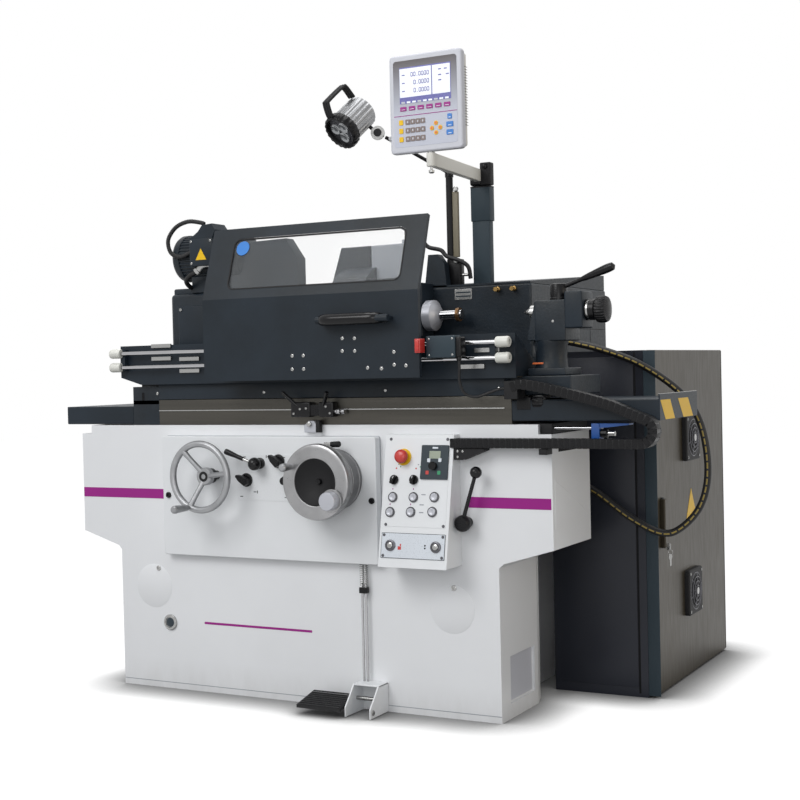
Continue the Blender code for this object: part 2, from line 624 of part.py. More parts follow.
# ---- guard rails and sliding door -----------------------------------------------------------
def make_guard_rails():
    front, back = RAIL_PLATE_FRONT, RAIL_PLATE_FRONT + RAIL_PLATE_THICKNESS
    left, right = RAIL_PLATE_LEFT, RAIL_PLATE_RIGHT
    plate = prism([(left, 1.020), (left + 0.081, 0.996), (right, 0.996), (right, 1.124), (left, 1.124)],
                  "Y", front, back)
    rib = [(front + 0.001, TABLE_TOP + GAP), (0.175, TABLE_TOP + GAP), (0.175, 1.010), (front + 0.001, 1.1235)]
    right_rib = prism(rib, "X", right - 0.008, right)
    left_rib = prism(rib, "X", -1.240, -1.232)
    seat = RAIL_Y + RAIL_RADIUS + GAP
    posts = [block((x, seat, RAIL_HEIGHTS[0] - 0.012), (x + 0.018, front + 0.001, RAIL_HEIGHTS[1] + 0.012))
             for x in (left + 0.014, 0.002)]
    part("guard_rail_plate", joined(plate, right_rib, left_rib, *posts), "table", SLATE)
    for name, height in (("lower_rail", RAIL_HEIGHTS[0]), ("upper_rail", RAIL_HEIGHTS[1])):
        start, end = left - 0.033, right - 0.005
        profile = [(0, start), (CAP_RADIUS - 0.004, start), (CAP_RADIUS, start + 0.004),
                   (CAP_RADIUS, start + CAP_LENGTH), (RAIL_RADIUS, start + CAP_LENGTH),
                   (RAIL_RADIUS, end - CAP_LENGTH), (CAP_RADIUS, end - CAP_LENGTH), (CAP_RADIUS, end - 0.004),
                   (CAP_RADIUS - 0.004, end), (0, end)]
        part(name, turned(profile, (0, RAIL_Y, height), (1, 0, 0), 24), "table", CHROME)


def make_interlock():
    switch = block((-0.170, -0.100, 1.056), (-0.062, -0.056, 1.122), 0.003)
    stem = block((-0.150, -0.058, 1.064), (-0.080, RAIL_PLATE_FRONT - GAP, 1.088))
    part("interlock_switch", joined(switch, stem), "table", SLATE)
    route = [(-0.075, -0.078, 1.056 - GAP), (-0.075, -0.078, 1.050), (-0.075, -0.077, 1.025), (-0.078, -0.071, 0.988),
             (-0.068, -0.060, 0.955), (-0.040, -0.048, 0.944), (-0.010, -0.036, 0.953),
             (TABLE_RIGHT - 0.030, -0.030, 0.962), (TABLE_RIGHT - 0.020 - GAP, -0.030, 0.962)]
    cord("interlock_cable", route, 0.0042, "table", BLACK, 2)


def sheet_section(near, far, extra=0.0):
    """Side view of the bent door between two depths behind its front, longer by extra at both ends."""
    run = Vector((DOOR_TOP_FRONT - DOOR_FRONT, DOOR_TOP - DOOR_BEND)).normalized()
    inward = Vector((run.y, -run.x))
    half_turn = math.atan2(run.x, run.y) / 2
    top = Vector((DOOR_TOP_FRONT, DOOR_TOP)) + run * extra
    section = []
    for depth in (near, far):
        corners = [(DOOR_FRONT + depth, DOOR_BOTTOM - extra),
                   (DOOR_FRONT + depth, DOOR_BEND - depth * math.tan(half_turn)),
                   tuple(top + inward * depth)]
        section += corners if depth == near else corners[::-1]
    return section


WINDOW_LEFT = -0.845
WINDOW_RIGHT = -0.240
WINDOW_BOTTOM = 1.287
WINDOW_TOP = 1.443


def make_door():
    body("guard_door", (DOOR_RIGHT, RAIL_Y, RAIL_HEIGHTS[0]), "table")
    sheet = prism(sheet_section(0.0, DOOR_FLANGE), "X", DOOR_LEFT, DOOR_RIGHT)
    hollow = prism(sheet_section(DOOR_SHEET, 0.06, 0.03), "X", DOOR_LEFT + DOOR_SHEET, DOOR_RIGHT - DOOR_SHEET)
    opening = rounded([(WINDOW_LEFT, WINDOW_BOTTOM), (WINDOW_RIGHT, WINDOW_BOTTOM),
                       (WINDOW_RIGHT, WINDOW_TOP), (WINDOW_LEFT, WINDOW_TOP)], 0.022)
    carriages = [block((x, DOOR_FRONT + 0.002, 1.036), (x + 0.08, -0.028, 1.117)) for x in (-0.80, -0.40)]
    bores = [rod((-0.85, RAIL_Y, height), (-0.30, RAIL_Y, height), RAIL_RADIUS + RUNNING, 24)
             for height in RAIL_HEIGHTS]
    bar_y, bar_z, ends = -0.165, 1.176, (-0.493, -0.254)
    bar = rod((ends[0], bar_y, bar_z), (ends[1], bar_y, bar_z), 0.010)
    legs = [rod((x, bar_y, bar_z), (x, DOOR_FRONT + 0.002, bar_z), 0.008, 16)
            for x in (ends[0] + 0.014, ends[1] - 0.014)]
    door = cut(sheet, hollow, prism(opening, "Y", -0.2, 0.0))
    part("guard_door", cut(joined(door, *carriages, bar, *legs), *bores), "guard_door", SLATE)
    run = Vector((0, DOOR_TOP_FRONT - DOOR_FRONT, DOOR_TOP - DOOR_BEND)).normalized()
    inward = Vector((0, run.z, -run.y))
    bend = Vector((0, DOOR_FRONT, DOOR_BEND))
    pane = []
    for along, depth in ((0.022, 0.0), (0.212, 0.0), (0.212, 0.003), (0.022, 0.003)):
        spot = bend + run * along + inward * (DOOR_SHEET + GAP + depth)
        pane.append((spot.y, spot.z))
    part("guard_window", prism(pane, "X", WINDOW_LEFT - 0.012, WINDOW_RIGHT + 0.012), "guard_door", GLASS)


# ---- wheelhead -----------------------------------------------------------------------------
def make_wheelhead():
    axis = Vector((0, WHEEL_Y, CENTRE_Z))
    body("wheelhead", (WHEELHEAD_LEFT, WHEELHEAD_FRONT, SLIDE_WAY_TOP))
    main = block((WHEELHEAD_LEFT, WHEELHEAD_FRONT, TABLE_TOP + 0.001), (WHEELHEAD_RIGHT, WHEELHEAD_REAR, WHEELHEAD_TOP),
                 0.006)
    slide = block((WHEELHEAD_LEFT + 0.002, 0.402, SLIDE_WAY_TOP + GAP), (-0.112, 1.05, TABLE_TOP + 0.03))
    nose = block((WHEELHEAD_LEFT - 0.001, 0.27, 1.09), (-0.37, 0.37, 1.30), 0.004)
    ear = prism([(-0.400, 1.28), (-0.320, 1.28), (-0.328, 1.36), (-0.350, 1.392), (-0.385, 1.392)], "Y", 0.352, 0.383)
    bore = rod(axis + Vector((-0.52, 0, 0)), axis + Vector((-0.38, 0, 0)), SPINDLE_RADIUS + RUNNING, 32)
    part("wheelhead_body", cut(joined(main, slide, nose, ear), bore), "wheelhead", SLATE)
    make_wheel_guard(axis)
    body("grinding_wheel", axis + Vector((WHEEL_X, 0, 0)), "wheelhead")
    half = WHEEL_WIDTH / 2
    wheel = turned([(0, WHEEL_X - 0.040), (0.018, WHEEL_X - 0.040), (0.018, WHEEL_X - half - 0.010),
                    (0.060, WHEEL_X - half - 0.010), (0.060, WHEEL_X - half), (WHEEL_RADIUS, WHEEL_X - half),
                    (WHEEL_RADIUS, WHEEL_X + half), (0.060, WHEEL_X + half), (0.060, WHEEL_X + half + 0.010),
                    (SPINDLE_RADIUS, WHEEL_X + half + 0.012), (SPINDLE_RADIUS, -0.39), (0, -0.39)],
                   axis, (1, 0, 0), 36)
    part("grinding_wheel", wheel, "grinding_wheel", ABRASIVE)
    motor_axis = Vector((0, 1.115, 1.13))
    motor = turned([(0, -0.47), (0.076, -0.47), (0.085, -0.46), (0.085, -0.19), (0.070, -0.17), (0, -0.17)],
                   motor_axis, (1, 0, 0))
    foot = block((-0.42, WHEELHEAD_REAR + GAP, 1.07), (-0.22, 1.07, 1.19))
    part("wheel_motor", joined(motor, foot), "wheelhead", SLATE)
    internal_axis = Vector((0, 0.30, 1.195))
    internal = turned([(0, -0.365), (0.044, -0.365), (0.0495, -0.358), (0.0495, -0.322), (0.044, -0.315),
                       (0.024, -0.312), (0.024, -0.252), (0.018, -0.242), (0, -0.242)], internal_axis, (1, 0, 0))
    part("internal_grinding_spindle", internal, "wheelhead", SILVER)


def make_wheel_guard(axis):
    outer, inner = WHEEL_RADIUS + 0.020, WHEEL_RADIUS + 0.007
    left, right = WHEEL_X - 0.060, WHEEL_X + 0.060
    shell = rod(axis + Vector((left, 0, 0)), axis + Vector((right, 0, 0)), outer, 40)
    boss = rod(axis + Vector((right - 0.005, 0, 0)), axis + Vector((WHEELHEAD_LEFT - 0.001 - GAP, 0, 0)), 0.050, 32)
    room = rod(axis + Vector((left + 0.010, 0, 0)), axis + Vector((right - 0.010, 0, 0)), inner, 40)
    mouth = block((left - 0.01, -0.1, 0.9), (right - 0.0005, WHEEL_Y - 0.085, 1.265))
    passage = rod(axis + Vector((WHEEL_X, 0, 0)), axis + Vector((-0.49, 0, 0)), SPINDLE_RADIUS + 0.003, 32)
    part("wheel_guard", cut(joined(shell, boss), room, mouth, passage), "wheelhead", SLATE)


def make_readout():
    floor = WHEELHEAD_TOP + GAP
    column = block((-0.271, 0.42, floor), (-0.200, 0.49, COLUMN_TOP), 0.003)
    sleeve = block((-0.275, 0.416, 1.490), (-0.196, 0.494, COLUMN_TOP - 0.0005), 0.003)
    part("readout_column", joined(column, sleeve), "wheelhead", SLATE)
    pivot = Vector((-0.235, 0.455, COLUMN_TOP))
    body("readout_arm", pivot, "wheelhead")
    knuckle = block((-0.277, 0.414, COLUMN_TOP + GAP), (-0.193, 0.496, 1.690), 0.004)
    tip = Vector((-0.197, 0.018, 1.645))
    bar = beam((-0.233, 0.430, 1.645), tip, 0.022, 0.040)
    clamp = rod((tip.x, tip.y, 1.605), (tip.x, tip.y, 1.668), 0.014)
    part("readout_arm", joined(knuckle, bar, clamp), "readout_arm", SILVER)
    body("readout_display", (tip.x, tip.y, 1.668), "readout_arm")
    case = block((-0.322, 0.0, 1.672), (-0.084, 0.045, 1.951), 0.007, 3)
    stub = rod((tip.x, tip.y, 1.668 + GAP), (tip.x, tip.y, 1.680), 0.011)
    part("readout_display", joined(case, stub), "readout_display", GREY)


def make_lamp():
    floor = WHEELHEAD_TOP + GAP
    pole_x, pole_y, pole_top = -0.327, 0.40, 1.640
    tube = rod((pole_x, pole_y, floor), (pole_x, pole_y, pole_top), 0.010)
    bar = block((pole_x + 0.009, pole_y - 0.007, floor), (pole_x + 0.034, pole_y + 0.007, 1.620))
    part("lamp_pole", joined(tube, bar), "wheelhead", BLACK)
    pivot = Vector((pole_x, pole_y, pole_top))
    body("lamp_arm", pivot, "wheelhead")
    collar = rod(pivot + Vector((0, 0, GAP)), pivot + Vector((0, 0, 0.026)), 0.014)
    joint = Vector((-0.447, 0.15, 1.760))
    arm = rod(pivot + Vector((0, 0, 0.014)), joint, 0.0055, 14)
    knuckle = rod(joint - Vector((0.009, 0, 0)), joint + Vector((0.009, 0, 0)), 0.015)
    part("lamp_arm", joined(collar, arm, knuckle), "lamp_arm", BLACK)
    body("lamp_head", joint, "lamp_arm")
    beam_way = Vector((-0.266, -0.711, -0.650)).normalized()
    middle = Vector((-0.513, 0.105, 1.812))
    case = turned([(0, -0.066), (0.040, -0.064), (0.052, -0.052), (0.054, 0.040), (0.058, 0.044), (0.058, 0.062),
                   (0.050, 0.066), (0.047, 0.058), (0, 0.058)], middle, beam_way, 28)
    ear_start = joint + Vector((-0.0095 - GAP, 0, 0))
    ear = rod(ear_start, ear_start + Vector((-0.010, 0, 0)), 0.014)
    neck = rod(ear_start + Vector((-0.005, 0, 0)), middle, 0.006, 14)
    part("lamp_head", joined(case, ear, neck), "lamp_head", SILVER)


# ---- services: chain, stop, hose, cabinet, pedal ---------------------------------------------
def make_chain():
    start = Vector((0.072 + GAP, 0, 0.966))
    upper = [start, Vector((0.095, 0, 0.966)), Vector((0.17, 0, 0.952)), Vector((0.27, 0, 0.929)), Vector((0.36, 0, 0.902)),
             Vector((0.425, 0, 0.872))]
    bend = []
    centre, radius = Vector((0.432, 0, 0.8385)), 0.034
    for degrees in range(65, -91, -22):
        angle = math.radians(degrees)
        bend.append(centre + Vector((math.cos(angle), 0, math.sin(angle))) * radius)
    lower = [Vector((0.432, 0, centre.z - radius)), Vector((CONSOLE_RIGHT + GAP, 0, centre.z - radius))]
    line = smooth_route(upper + bend, 0.016) + lower
    half = CHAIN_THICKNESS / 2
    outside, inside = [], []
    ways = [Vector((1, 0, 0))]
    ways += [(after - before).normalized() for before, after in zip(line, line[2:])]
    ways.append(Vector((-1, 0, 0)))
    for point, way in zip(line, ways):
        side = Vector((-way.z, 0, way.x)) * half
        outside.append((point.x + side.x, point.z + side.z))
        inside.append((point.x - side.x, point.z - side.z))
    part("energy_chain", prism(outside + inside[::-1], "Y", CHAIN_FRONT, CHAIN_BACK), "machine", BLACK)


def make_table_stop():
    start = BED_RIGHT_OVERHANG - 0.04 + GAP
    bar = rod((start, 0.025, 0.848), (0.295, 0.025, 0.848), 0.004, 14)
    upright = block((0.285, 0.008, 0.815), (0.310, 0.045, 0.862))
    ledge = block((0.300, 0.011, 0.851), (0.395, 0.042, 0.860))
    knob = rod((0.305, 0.025, 0.833), (0.350, 0.025, 0.833), 0.012, 20)
    part("table_stop", joined(bar, upright, ledge, knob), "machine", BLUE)


HOSE_ROUTE = [(-0.015, 1.105), (0.052, 1.103), (0.172, 1.074), (0.299, 1.024), (0.420, 0.938),
              (0.479, 0.843), (0.498, 0.710), (0.475, 0.605), (0.413, 0.534), (0.351, 0.518), (0.258, 0.560),
              (0.147, 0.637), (0.050, 0.680), (-0.03, 0.690), (-0.085, 0.690)]


def make_hose():
    route = [(WHEELHEAD_RIGHT + GAP, HOSE_Y, 1.105)] + [(x, HOSE_Y, z) for x, z in HOSE_ROUTE]
    route.append((PEDESTAL_RIGHT + GAP, HOSE_Y, 0.690))
    cord("coolant_hose", route, HOSE_RADIUS, "machine", BLACK)


def make_cabinet():
    wall = CABINET_WALL
    door_back = CABINET_RIGHT - DOOR_PANEL - DOOR_RIM
    shell_right = door_back - GAP
    shell = block((CABINET_LEFT, CABINET_FRONT, 0), (shell_right, CABINET_REAR, CABINET_HEIGHT))
    room = block((CABINET_LEFT + wall, CABINET_FRONT + wall, 0.06),
                 (shell_right + 0.01, CABINET_REAR - wall, CABINET_HEIGHT - wall))
    part("cabinet_shell", cut(shell, room), "machine", SLATE)
    body("cabinet_door", (CABINET_RIGHT, CABINET_REAR - 0.002, 0))
    panel_low = (CABINET_RIGHT - DOOR_PANEL, CABINET_FRONT, 0.006)
    panel = block(panel_low, (CABINET_RIGHT, CABINET_REAR - 0.0025, CABINET_HEIGHT), 0.002, 1)
    inset = 0.010
    rim_block = block((door_back, CABINET_FRONT + inset, 0.016),
                      (CABINET_RIGHT - DOOR_PANEL / 2, CABINET_REAR - inset - 0.0025, CABINET_HEIGHT - inset))
    handle = block((CABINET_RIGHT - 0.002, 0.532, 0.454), (CABINET_RIGHT + 0.016, 0.556, 0.606), 0.004)
    fold = inset + 0.012
    tray = block((door_back - 0.01, CABINET_FRONT + fold, 0.006 + fold),
                 (CABINET_RIGHT - DOOR_SKIN, CABINET_REAR - 0.0025 - fold, CABINET_HEIGHT - fold))
    part("cabinet_door", joined(cut(joined(panel, rim_block), tray), handle), "cabinet_door", SLATE)


PEDAL_Y = -0.045
PEDAL_Z = 0.045
PEDAL_SHAFT = 0.006


def make_pedal():
    channel = prism([(-0.460, 0), (-0.454, 0), (-0.454, 0.084), (-0.378, 0.084), (-0.378, 0), (-0.372, 0),
                     (-0.372, 0.090), (-0.460, 0.090)], "Y", -0.115, -GAP)
    hole = rod((-0.47, PEDAL_Y, PEDAL_Z), (-0.44, PEDAL_Y, PEDAL_Z), PEDAL_SHAFT + RUNNING)
    end = PANEL_BOTTOM - GAP
    rods = [turned([(0, 0.087), (0.003, 0.087), (0.003, 0.380), (0.0055, 0.386), (0.0055, end), (0, end)],
                   (x, -0.015, 0), (0, 0, 1), 12) for x in (-0.4465, -0.4335)]
    clamp = block((-0.455, -0.024, 0.372), (-0.425, -0.006, 0.391), 0.002, 1)
    part("pedal_bracket", cut(joined(channel, *rods, clamp), hole), "machine", WHITE)
    body("foot_pedal", (-0.454, PEDAL_Y, PEDAL_Z))
    shaft = rod((-0.612, PEDAL_Y, PEDAL_Z), (-0.378 - GAP, PEDAL_Y, PEDAL_Z), PEDAL_SHAFT)
    pad = prism([(-0.135, 0.020), (-0.135, 0.030), (-0.035, 0.052), (-0.035, 0.038)], "X", -0.615, -0.463)
    part("foot_pedal", joined(shaft, pad), "foot_pedal", BLACK)


def centre_on_footprint():
    """Move the machine so that the origin lies under the middle of its box, free cords left out."""
    bpy.context.view_layer.update()
    graph = bpy.context.evaluated_depsgraph_get()
    low, high = Vector((9, 9, 9)), Vector((-9, -9, -9))
    for piece in bpy.data.objects:
        if piece.type == "EMPTY" or piece.name in FREE_CORDS:
            continue
        shape = piece.evaluated_get(graph)
        for vertex in shape.to_mesh().vertices:
            spot = piece.matrix_world @ vertex.co
            for axis in range(3):
                low[axis] = min(low[axis], spot[axis])
                high[axis] = max(high[axis], spot[axis])
        shape.to_mesh_clear()
    PIVOTS["machine"][0].location = (-(low.x + high.x) / 2, -(low.y + high.y) / 2, 0.0)


body("machine")
make_bed()
make_front_panel()
make_console()
make_table_handwheel()
make_infeed_controls()
make_panel_levers()
make_reversing_bracket()
make_table()
make_table_dogs()
make_workhead()
make_tailstock()
make_guard_rails()
make_interlock()
make_door()
make_wheelhead()
make_readout()
make_lamp()
make_chain()
make_table_stop()
make_hose()
make_cabinet()
make_pedal()
centre_on_footprint()
bpy.context.view_layer.update()
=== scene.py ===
import math

import bpy
import numpy as np
from mathutils import Matrix, Vector


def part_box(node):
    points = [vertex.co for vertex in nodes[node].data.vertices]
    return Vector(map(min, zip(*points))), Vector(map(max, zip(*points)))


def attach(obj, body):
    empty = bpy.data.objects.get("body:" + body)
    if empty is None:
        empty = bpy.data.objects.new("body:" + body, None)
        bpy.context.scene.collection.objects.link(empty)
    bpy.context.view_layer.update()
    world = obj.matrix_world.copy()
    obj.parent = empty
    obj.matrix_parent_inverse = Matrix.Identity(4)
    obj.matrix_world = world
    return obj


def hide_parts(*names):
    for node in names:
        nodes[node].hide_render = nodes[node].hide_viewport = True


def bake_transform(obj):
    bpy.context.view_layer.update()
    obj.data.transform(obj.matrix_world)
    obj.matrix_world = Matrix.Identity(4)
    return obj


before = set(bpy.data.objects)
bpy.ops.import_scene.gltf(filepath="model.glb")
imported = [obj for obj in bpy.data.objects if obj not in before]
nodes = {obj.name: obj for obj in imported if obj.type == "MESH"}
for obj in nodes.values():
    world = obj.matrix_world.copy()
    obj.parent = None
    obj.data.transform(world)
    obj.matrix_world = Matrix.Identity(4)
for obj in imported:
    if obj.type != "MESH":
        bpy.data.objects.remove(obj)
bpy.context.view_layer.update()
bedLow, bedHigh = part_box("bed_casting")
corner = np.array([bedHigh.x - 0.17, bedLow.y,
    0.0])  # front right bottom corner of the base: all places count from it
tau = 2 * np.pi


# shapes: every one is (points, faces), faces padded with -1 where a face has three corners

def vec(*values):
    return np.array(values, float)


def unit(direction):
    direction = np.asarray(direction, float)
    return direction / np.linalg.norm(direction)


def gridFaces(rows, columns):
    # one quad between neighbouring rows and neighbouring columns, the last column meets the first
    row, column = np.meshgrid(np.arange(rows - 1), np.arange(columns), indexing="ij")
    here, beside = row * columns + column, row * columns + (column + 1) % columns
    return np.stack([here, beside, beside + columns, here + columns], -1).reshape(-1, 4)


def closedGrid(rings, lowPole=None, highPole=None, looped=False):
    # rings is (rows, columns, 3): a tube of rings, closed by a fan to a pole at each end or joined end
    # to start
    rows, columns = rings.shape[:2]
    points = rings.reshape(-1, 3)
    if looped:
        faces = gridFaces(rows + 1, columns) % (rows * columns)
        return points, faces
    low = rings[0].mean(0) if lowPole is None else lowPole
    high = rings[-1].mean(0) if highPole is None else highPole
    points = np.vstack([points, low, high])
    here = np.arange(columns)
    beside = (here + 1) % columns
    none = np.full(columns, -1)
    lowFan = np.stack([np.full(columns, rows * columns), beside, here, none], -1)
    last = (rows - 1) * columns
    highFan = np.stack([np.full(columns, rows * columns + 1), last + here, last + beside, none], -1)
    return points, np.vstack([gridFaces(rows, columns), lowFan, highFan])


def axes(direction):
    # two directions across the given one
    along = unit(direction)
    helper = vec(0, 0, 1) if abs(along[2]) < 0.9 else vec(1, 0, 0)
    across = unit(np.cross(helper, along))
    return across, np.cross(along, across), along


def lathe(profile, centre, direction=(0, 0, 1), steps=48, ripple=0.0, ripples=0, span=None, looped=False):
    # radius and distance along the axis, turned round it: centre + radius (across cos + upright sin) + along
    # with ripple, the radius of the rows in span swells and sinks as a rounded square wave, as fins or
    # knurls do
    profile = np.array(profile, float)
    across, upright, along = axes(direction)
    poles = [None, None]
    if not looped:
        if profile[0, 0] < 1e-9:
            poles[0], profile = np.asarray(centre) + along * profile[0, 1], profile[1:]
        if profile[-1, 0] < 1e-9:
            poles[1], profile = np.asarray(centre) + along * profile[-1, 1], profile[:-1]
    angle = np.arange(steps) * tau / steps
    radius = profile[:, 0][:, None] * np.ones(steps)
    if ripples:
        rows = np.arange(len(profile))
        inside = (rows >= span[0]) & (rows <= span[1]) if span else rows >= 0
        radius = radius + inside[:, None] * ripple * np.tanh(3 * np.cos(ripples * angle))[None, :]
    circle = np.cos(angle)[:, None] * across + np.sin(angle)[:, None] * upright
    rings = np.asarray(centre) + radius[..., None] * circle[None] + profile[:, 1][:, None, None] * along
    return closedGrid(rings, *poles, looped=looped)


def ball(centre, radius, steps=32):
    # half a circle turned round the upright axis
    angle = np.linspace(0, np.pi, steps // 2 + 1)
    profile = np.stack([radius * np.sin(angle), -radius * np.cos(angle)], -1)
    profile[[0, -1], 0] = 0
    return lathe(profile, centre, (0, 0, 1), steps)


def rod(start, end, radius, endRadius=None, edge=0.0006, steps=24):
    # a straight bar with a small chamfer at both ends
    length = np.linalg.norm(np.subtract(end, start))
    last = radius if endRadius is None else endRadius
    edge = min(edge, radius * 0.4, length * 0.3)
    profile = [(0, 0), (radius - edge, 0), (radius, edge), (last, length - edge), (last - edge, length),
        (0, length)]
    return lathe(profile, start, np.subtract(end, start), steps)


def torus(centre, direction, radius, thickness, steps=72, around=18):
    # a small circle carried round a large one
    angle = np.arange(around) * tau / around
    profile = np.stack([radius + thickness * np.cos(angle), thickness * np.sin(angle)], -1)
    return lathe(profile, centre, direction, steps, looped=True)


def roundedRect(width, height, radius, inset=0.0, steps=5):
    # four corner arcs round the middle, moved in by inset
    angle = np.linspace(0, np.pi / 2, steps + 1)
    turns = np.arange(4)[:, None] * np.pi / 2 + angle
    signs = np.array([[1, 1], [-1, 1], [-1, -1], [1, -1]], float)
    radius = min(radius, width / 2 - 1e-5, height / 2 - 1e-5)
    middle = signs * np.array([width / 2 - radius, height / 2 - radius])
    reach = max(radius - inset, 0.0)
    shrink = np.maximum(middle * signs - max(inset - radius, 0.0), 0.0) * signs
    points = shrink[:, None, :] + reach * np.stack([np.cos(turns), np.sin(turns)], -1)
    return points.reshape(-1, 2)


def slab(width, height, depth, origin, right=(1, 0, 0), up=(0, 0, 1), radius=0.002, edge=0.001, both=False,
        steps=5):
    # a rounded rectangle carried along its normal, its front rim rolled in as a quarter circle
    right, up = unit(right), unit(up)
    normal = np.cross(right, up)
    edge = min(edge, depth * 0.45)
    roll = np.linspace(0, np.pi / 2, 4)
    inset = np.append(edge * (1 - np.cos(roll)), edge + min(0.0004, 0.1 * min(width, height)))
    rise = np.append(depth - edge + edge * np.sin(roll), depth)
    levels = list(zip(inset, rise))
    if both:
        levels = [(i, depth - h) for i, h in levels[::-1]] + levels
    else:
        levels = [(0.0, 0.0)] + levels
    rings = [roundedRect(width, height, radius, i, steps) @ np.array([right, up]) + h * normal for i,
        h in levels]
    return closedGrid(np.asarray(origin) + np.array(rings))


def brick(low, high, edge=0.002, radius=None):
    # an upright box between two corners, all its edges rounded
    low, high = np.asarray(low, float), np.asarray(high, float)
    size = high - low
    base = vec((low[0] + high[0]) / 2, (low[1] + high[1]) / 2, low[2])
    radius = edge if radius is None else radius
    return slab(size[0], size[1], size[2], base, (1, 0, 0), (0, 1, 0), radius, edge, both=True, steps=3)


def plate(outline, thickness, origin=(0, 0, 0), right=(1, 0, 0), up=(0, 0, 1), edge=0.0005):
    # an outline without deep bays carried along its normal, its front rim drawn in a little
    outline = np.array(outline, float)
    middle = outline.mean(0)
    right, up = unit(right), unit(up)
    normal = np.cross(right, up)
    shrink = 1 - edge / np.abs(outline - middle).max()
    flat = [(outline, 0.0), (outline, thickness - edge), ((outline - middle) * shrink + middle, thickness)]
    rings = [points @ np.array([right, up]) + h * normal for points, h in flat]
    return closedGrid(np.asarray(origin) + np.array(rings))


def curve(points, count):
    # Catmull-Rom: each span is a cubic through two points with slopes from their neighbours
    points = np.array(points, float)
    padded = np.vstack([2 * points[0] - points[1], points, 2 * points[-1] - points[-2]])
    place = np.linspace(0, len(points) - 1, count)
    index = np.minimum(place.astype(int), len(points) - 2)
    t = (place - index)[:, None]
    a, b, c, d = (padded[index + k] for k in range(4))
    return 0.5 * (2 * b + (c - a) * t + (2 * a - 5 * b + 4 * c - d) * t ** 2 + (3 * b - a - 3 * c + d)
        * t ** 3)


def even(path, count):
    # the same path at equal distances
    length = np.concatenate([[0], np.cumsum(np.linalg.norm(np.diff(path, axis=0), axis=1))])
    wanted = np.linspace(0, length[-1], count)
    return np.stack([np.interp(wanted, length, path[:, k]) for k in range(3)], -1)


def tube(path, radius, side=(0, 1, 0), steps=16):
    # a circle carried along a path, upright to it, with side as the direction that stays level
    path = np.asarray(path, float)
    way = np.gradient(path, axis=0)
    way /= np.linalg.norm(way, axis=1)[:, None]
    across = np.cross(way, np.asarray(side, float))
    across /= np.linalg.norm(across, axis=1)[:, None]
    upright = np.cross(way, across)
    angle = np.arange(steps) * tau / steps
    radius = np.broadcast_to(radius, len(path))[:, None, None]
    circle = np.cos(angle)[None, :, None] * across[:, None] + np.sin(angle)[None, :, None] * upright[:, None]
    return closedGrid(path[:, None] + radius * circle)


def helix(start, end, radius, turns, wire, perTurn=14):
    # wire that winds evenly round a straight axis
    start, end = np.asarray(start, float), np.asarray(end, float)
    across, upright, along = axes(end - start)
    t = np.linspace(0, 1, int(turns * perTurn))[:, None]
    turn = t * turns * tau
    path = start + (end - start) * t + radius * (np.cos(turn) * across + np.sin(turn) * upright)
    return tube(path, wire, along, 6)


def repeat(shape, shifts):
    # the same shape at several places, as whole arrays
    points, faces = shape
    shifts = np.asarray(shifts, float)
    allPoints = (points[None] + shifts[:, None]).reshape(-1, 3)
    step = np.arange(len(shifts))[:, None, None] * len(points)
    allFaces = np.where(faces[None] >= 0, faces[None] + step, -1).reshape(-1, faces.shape[1])
    return allPoints, allFaces


def placed(shape, origins, rights, ups):
    # a shape drawn round zero, set at many places with its own right and up there
    points, faces = shape
    normals = np.cross(rights, ups)
    frames = np.stack([rights, ups, normals], 1)
    allPoints = (np.asarray(origins)[:, None] + np.einsum("pk,nkc->npc", points, frames)).reshape(-1, 3)
    step = np.arange(len(origins))[:, None, None] * len(points)
    allFaces = np.where(faces[None] >= 0, faces[None] + step, -1).reshape(-1, faces.shape[1])
    return allPoints, allFaces


def outward(shape):
    # turn the faces of a shape round when the volume they enclose comes out negative
    points, faces = shape
    first, second, third = (points[faces[:, k]] for k in range(3))
    fourth = points[np.where(faces[:, 3] < 0, faces[:, 2], faces[:, 3])]
    volume = np.einsum("ij,ij->", first, np.cross(second, third)) + np.einsum("ij,ij->", first,
        np.cross(third, fourth))
    if volume < 0:
        faces = np.where(faces[:, 3:4] < 0, faces[:, [2, 1, 0, 3]], faces[:, ::-1])
    return points, faces


def makePiece(name, body, parts, replaces=(), angle=38, ride=True):
    # parts are (shape, material) pairs, put into one mesh from whole arrays
    materials = []
    pointSets, faceSets, indexSets, count = [], [], [], 0
    for shape, material in parts:
        points, faces = outward(shape)
        if material not in materials:
            materials.append(material)
        pointSets.append(points)
        faceSets.append(np.where(faces >= 0, faces + count, -1))
        indexSets.append(np.full(len(faces), materials.index(material)))
        count += len(points)
    points, faces = np.vstack(pointSets) + corner, np.vstack(faceSets)
    mesh = bpy.data.meshes.new(name)
    mesh.vertices.add(len(points))
    mesh.vertices.foreach_set("co", points.astype(np.float32).ravel())
    kept = faces >= 0
    sizes = kept.sum(1)
    mesh.loops.add(int(sizes.sum()))
    mesh.loops.foreach_set("vertex_index", faces[kept].astype(np.int32))
    mesh.polygons.add(len(faces))
    mesh.polygons.foreach_set("loop_start", (np.cumsum(sizes) - sizes).astype(np.int32))
    mesh.polygons.foreach_set("material_index", np.concatenate(indexSets).astype(np.int32))
    for material in materials:
        mesh.materials.append(material)
    mesh.update(calc_edges=True)
    mesh.shade_smooth()
    mesh.set_sharp_from_angle(angle=math.radians(angle))
    piece = bpy.data.objects.new(name, mesh)
    bpy.context.scene.collection.objects.link(piece)
    if ride:
        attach(piece, body)
    if replaces:
        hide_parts(*replaces)
    return piece


# finishes

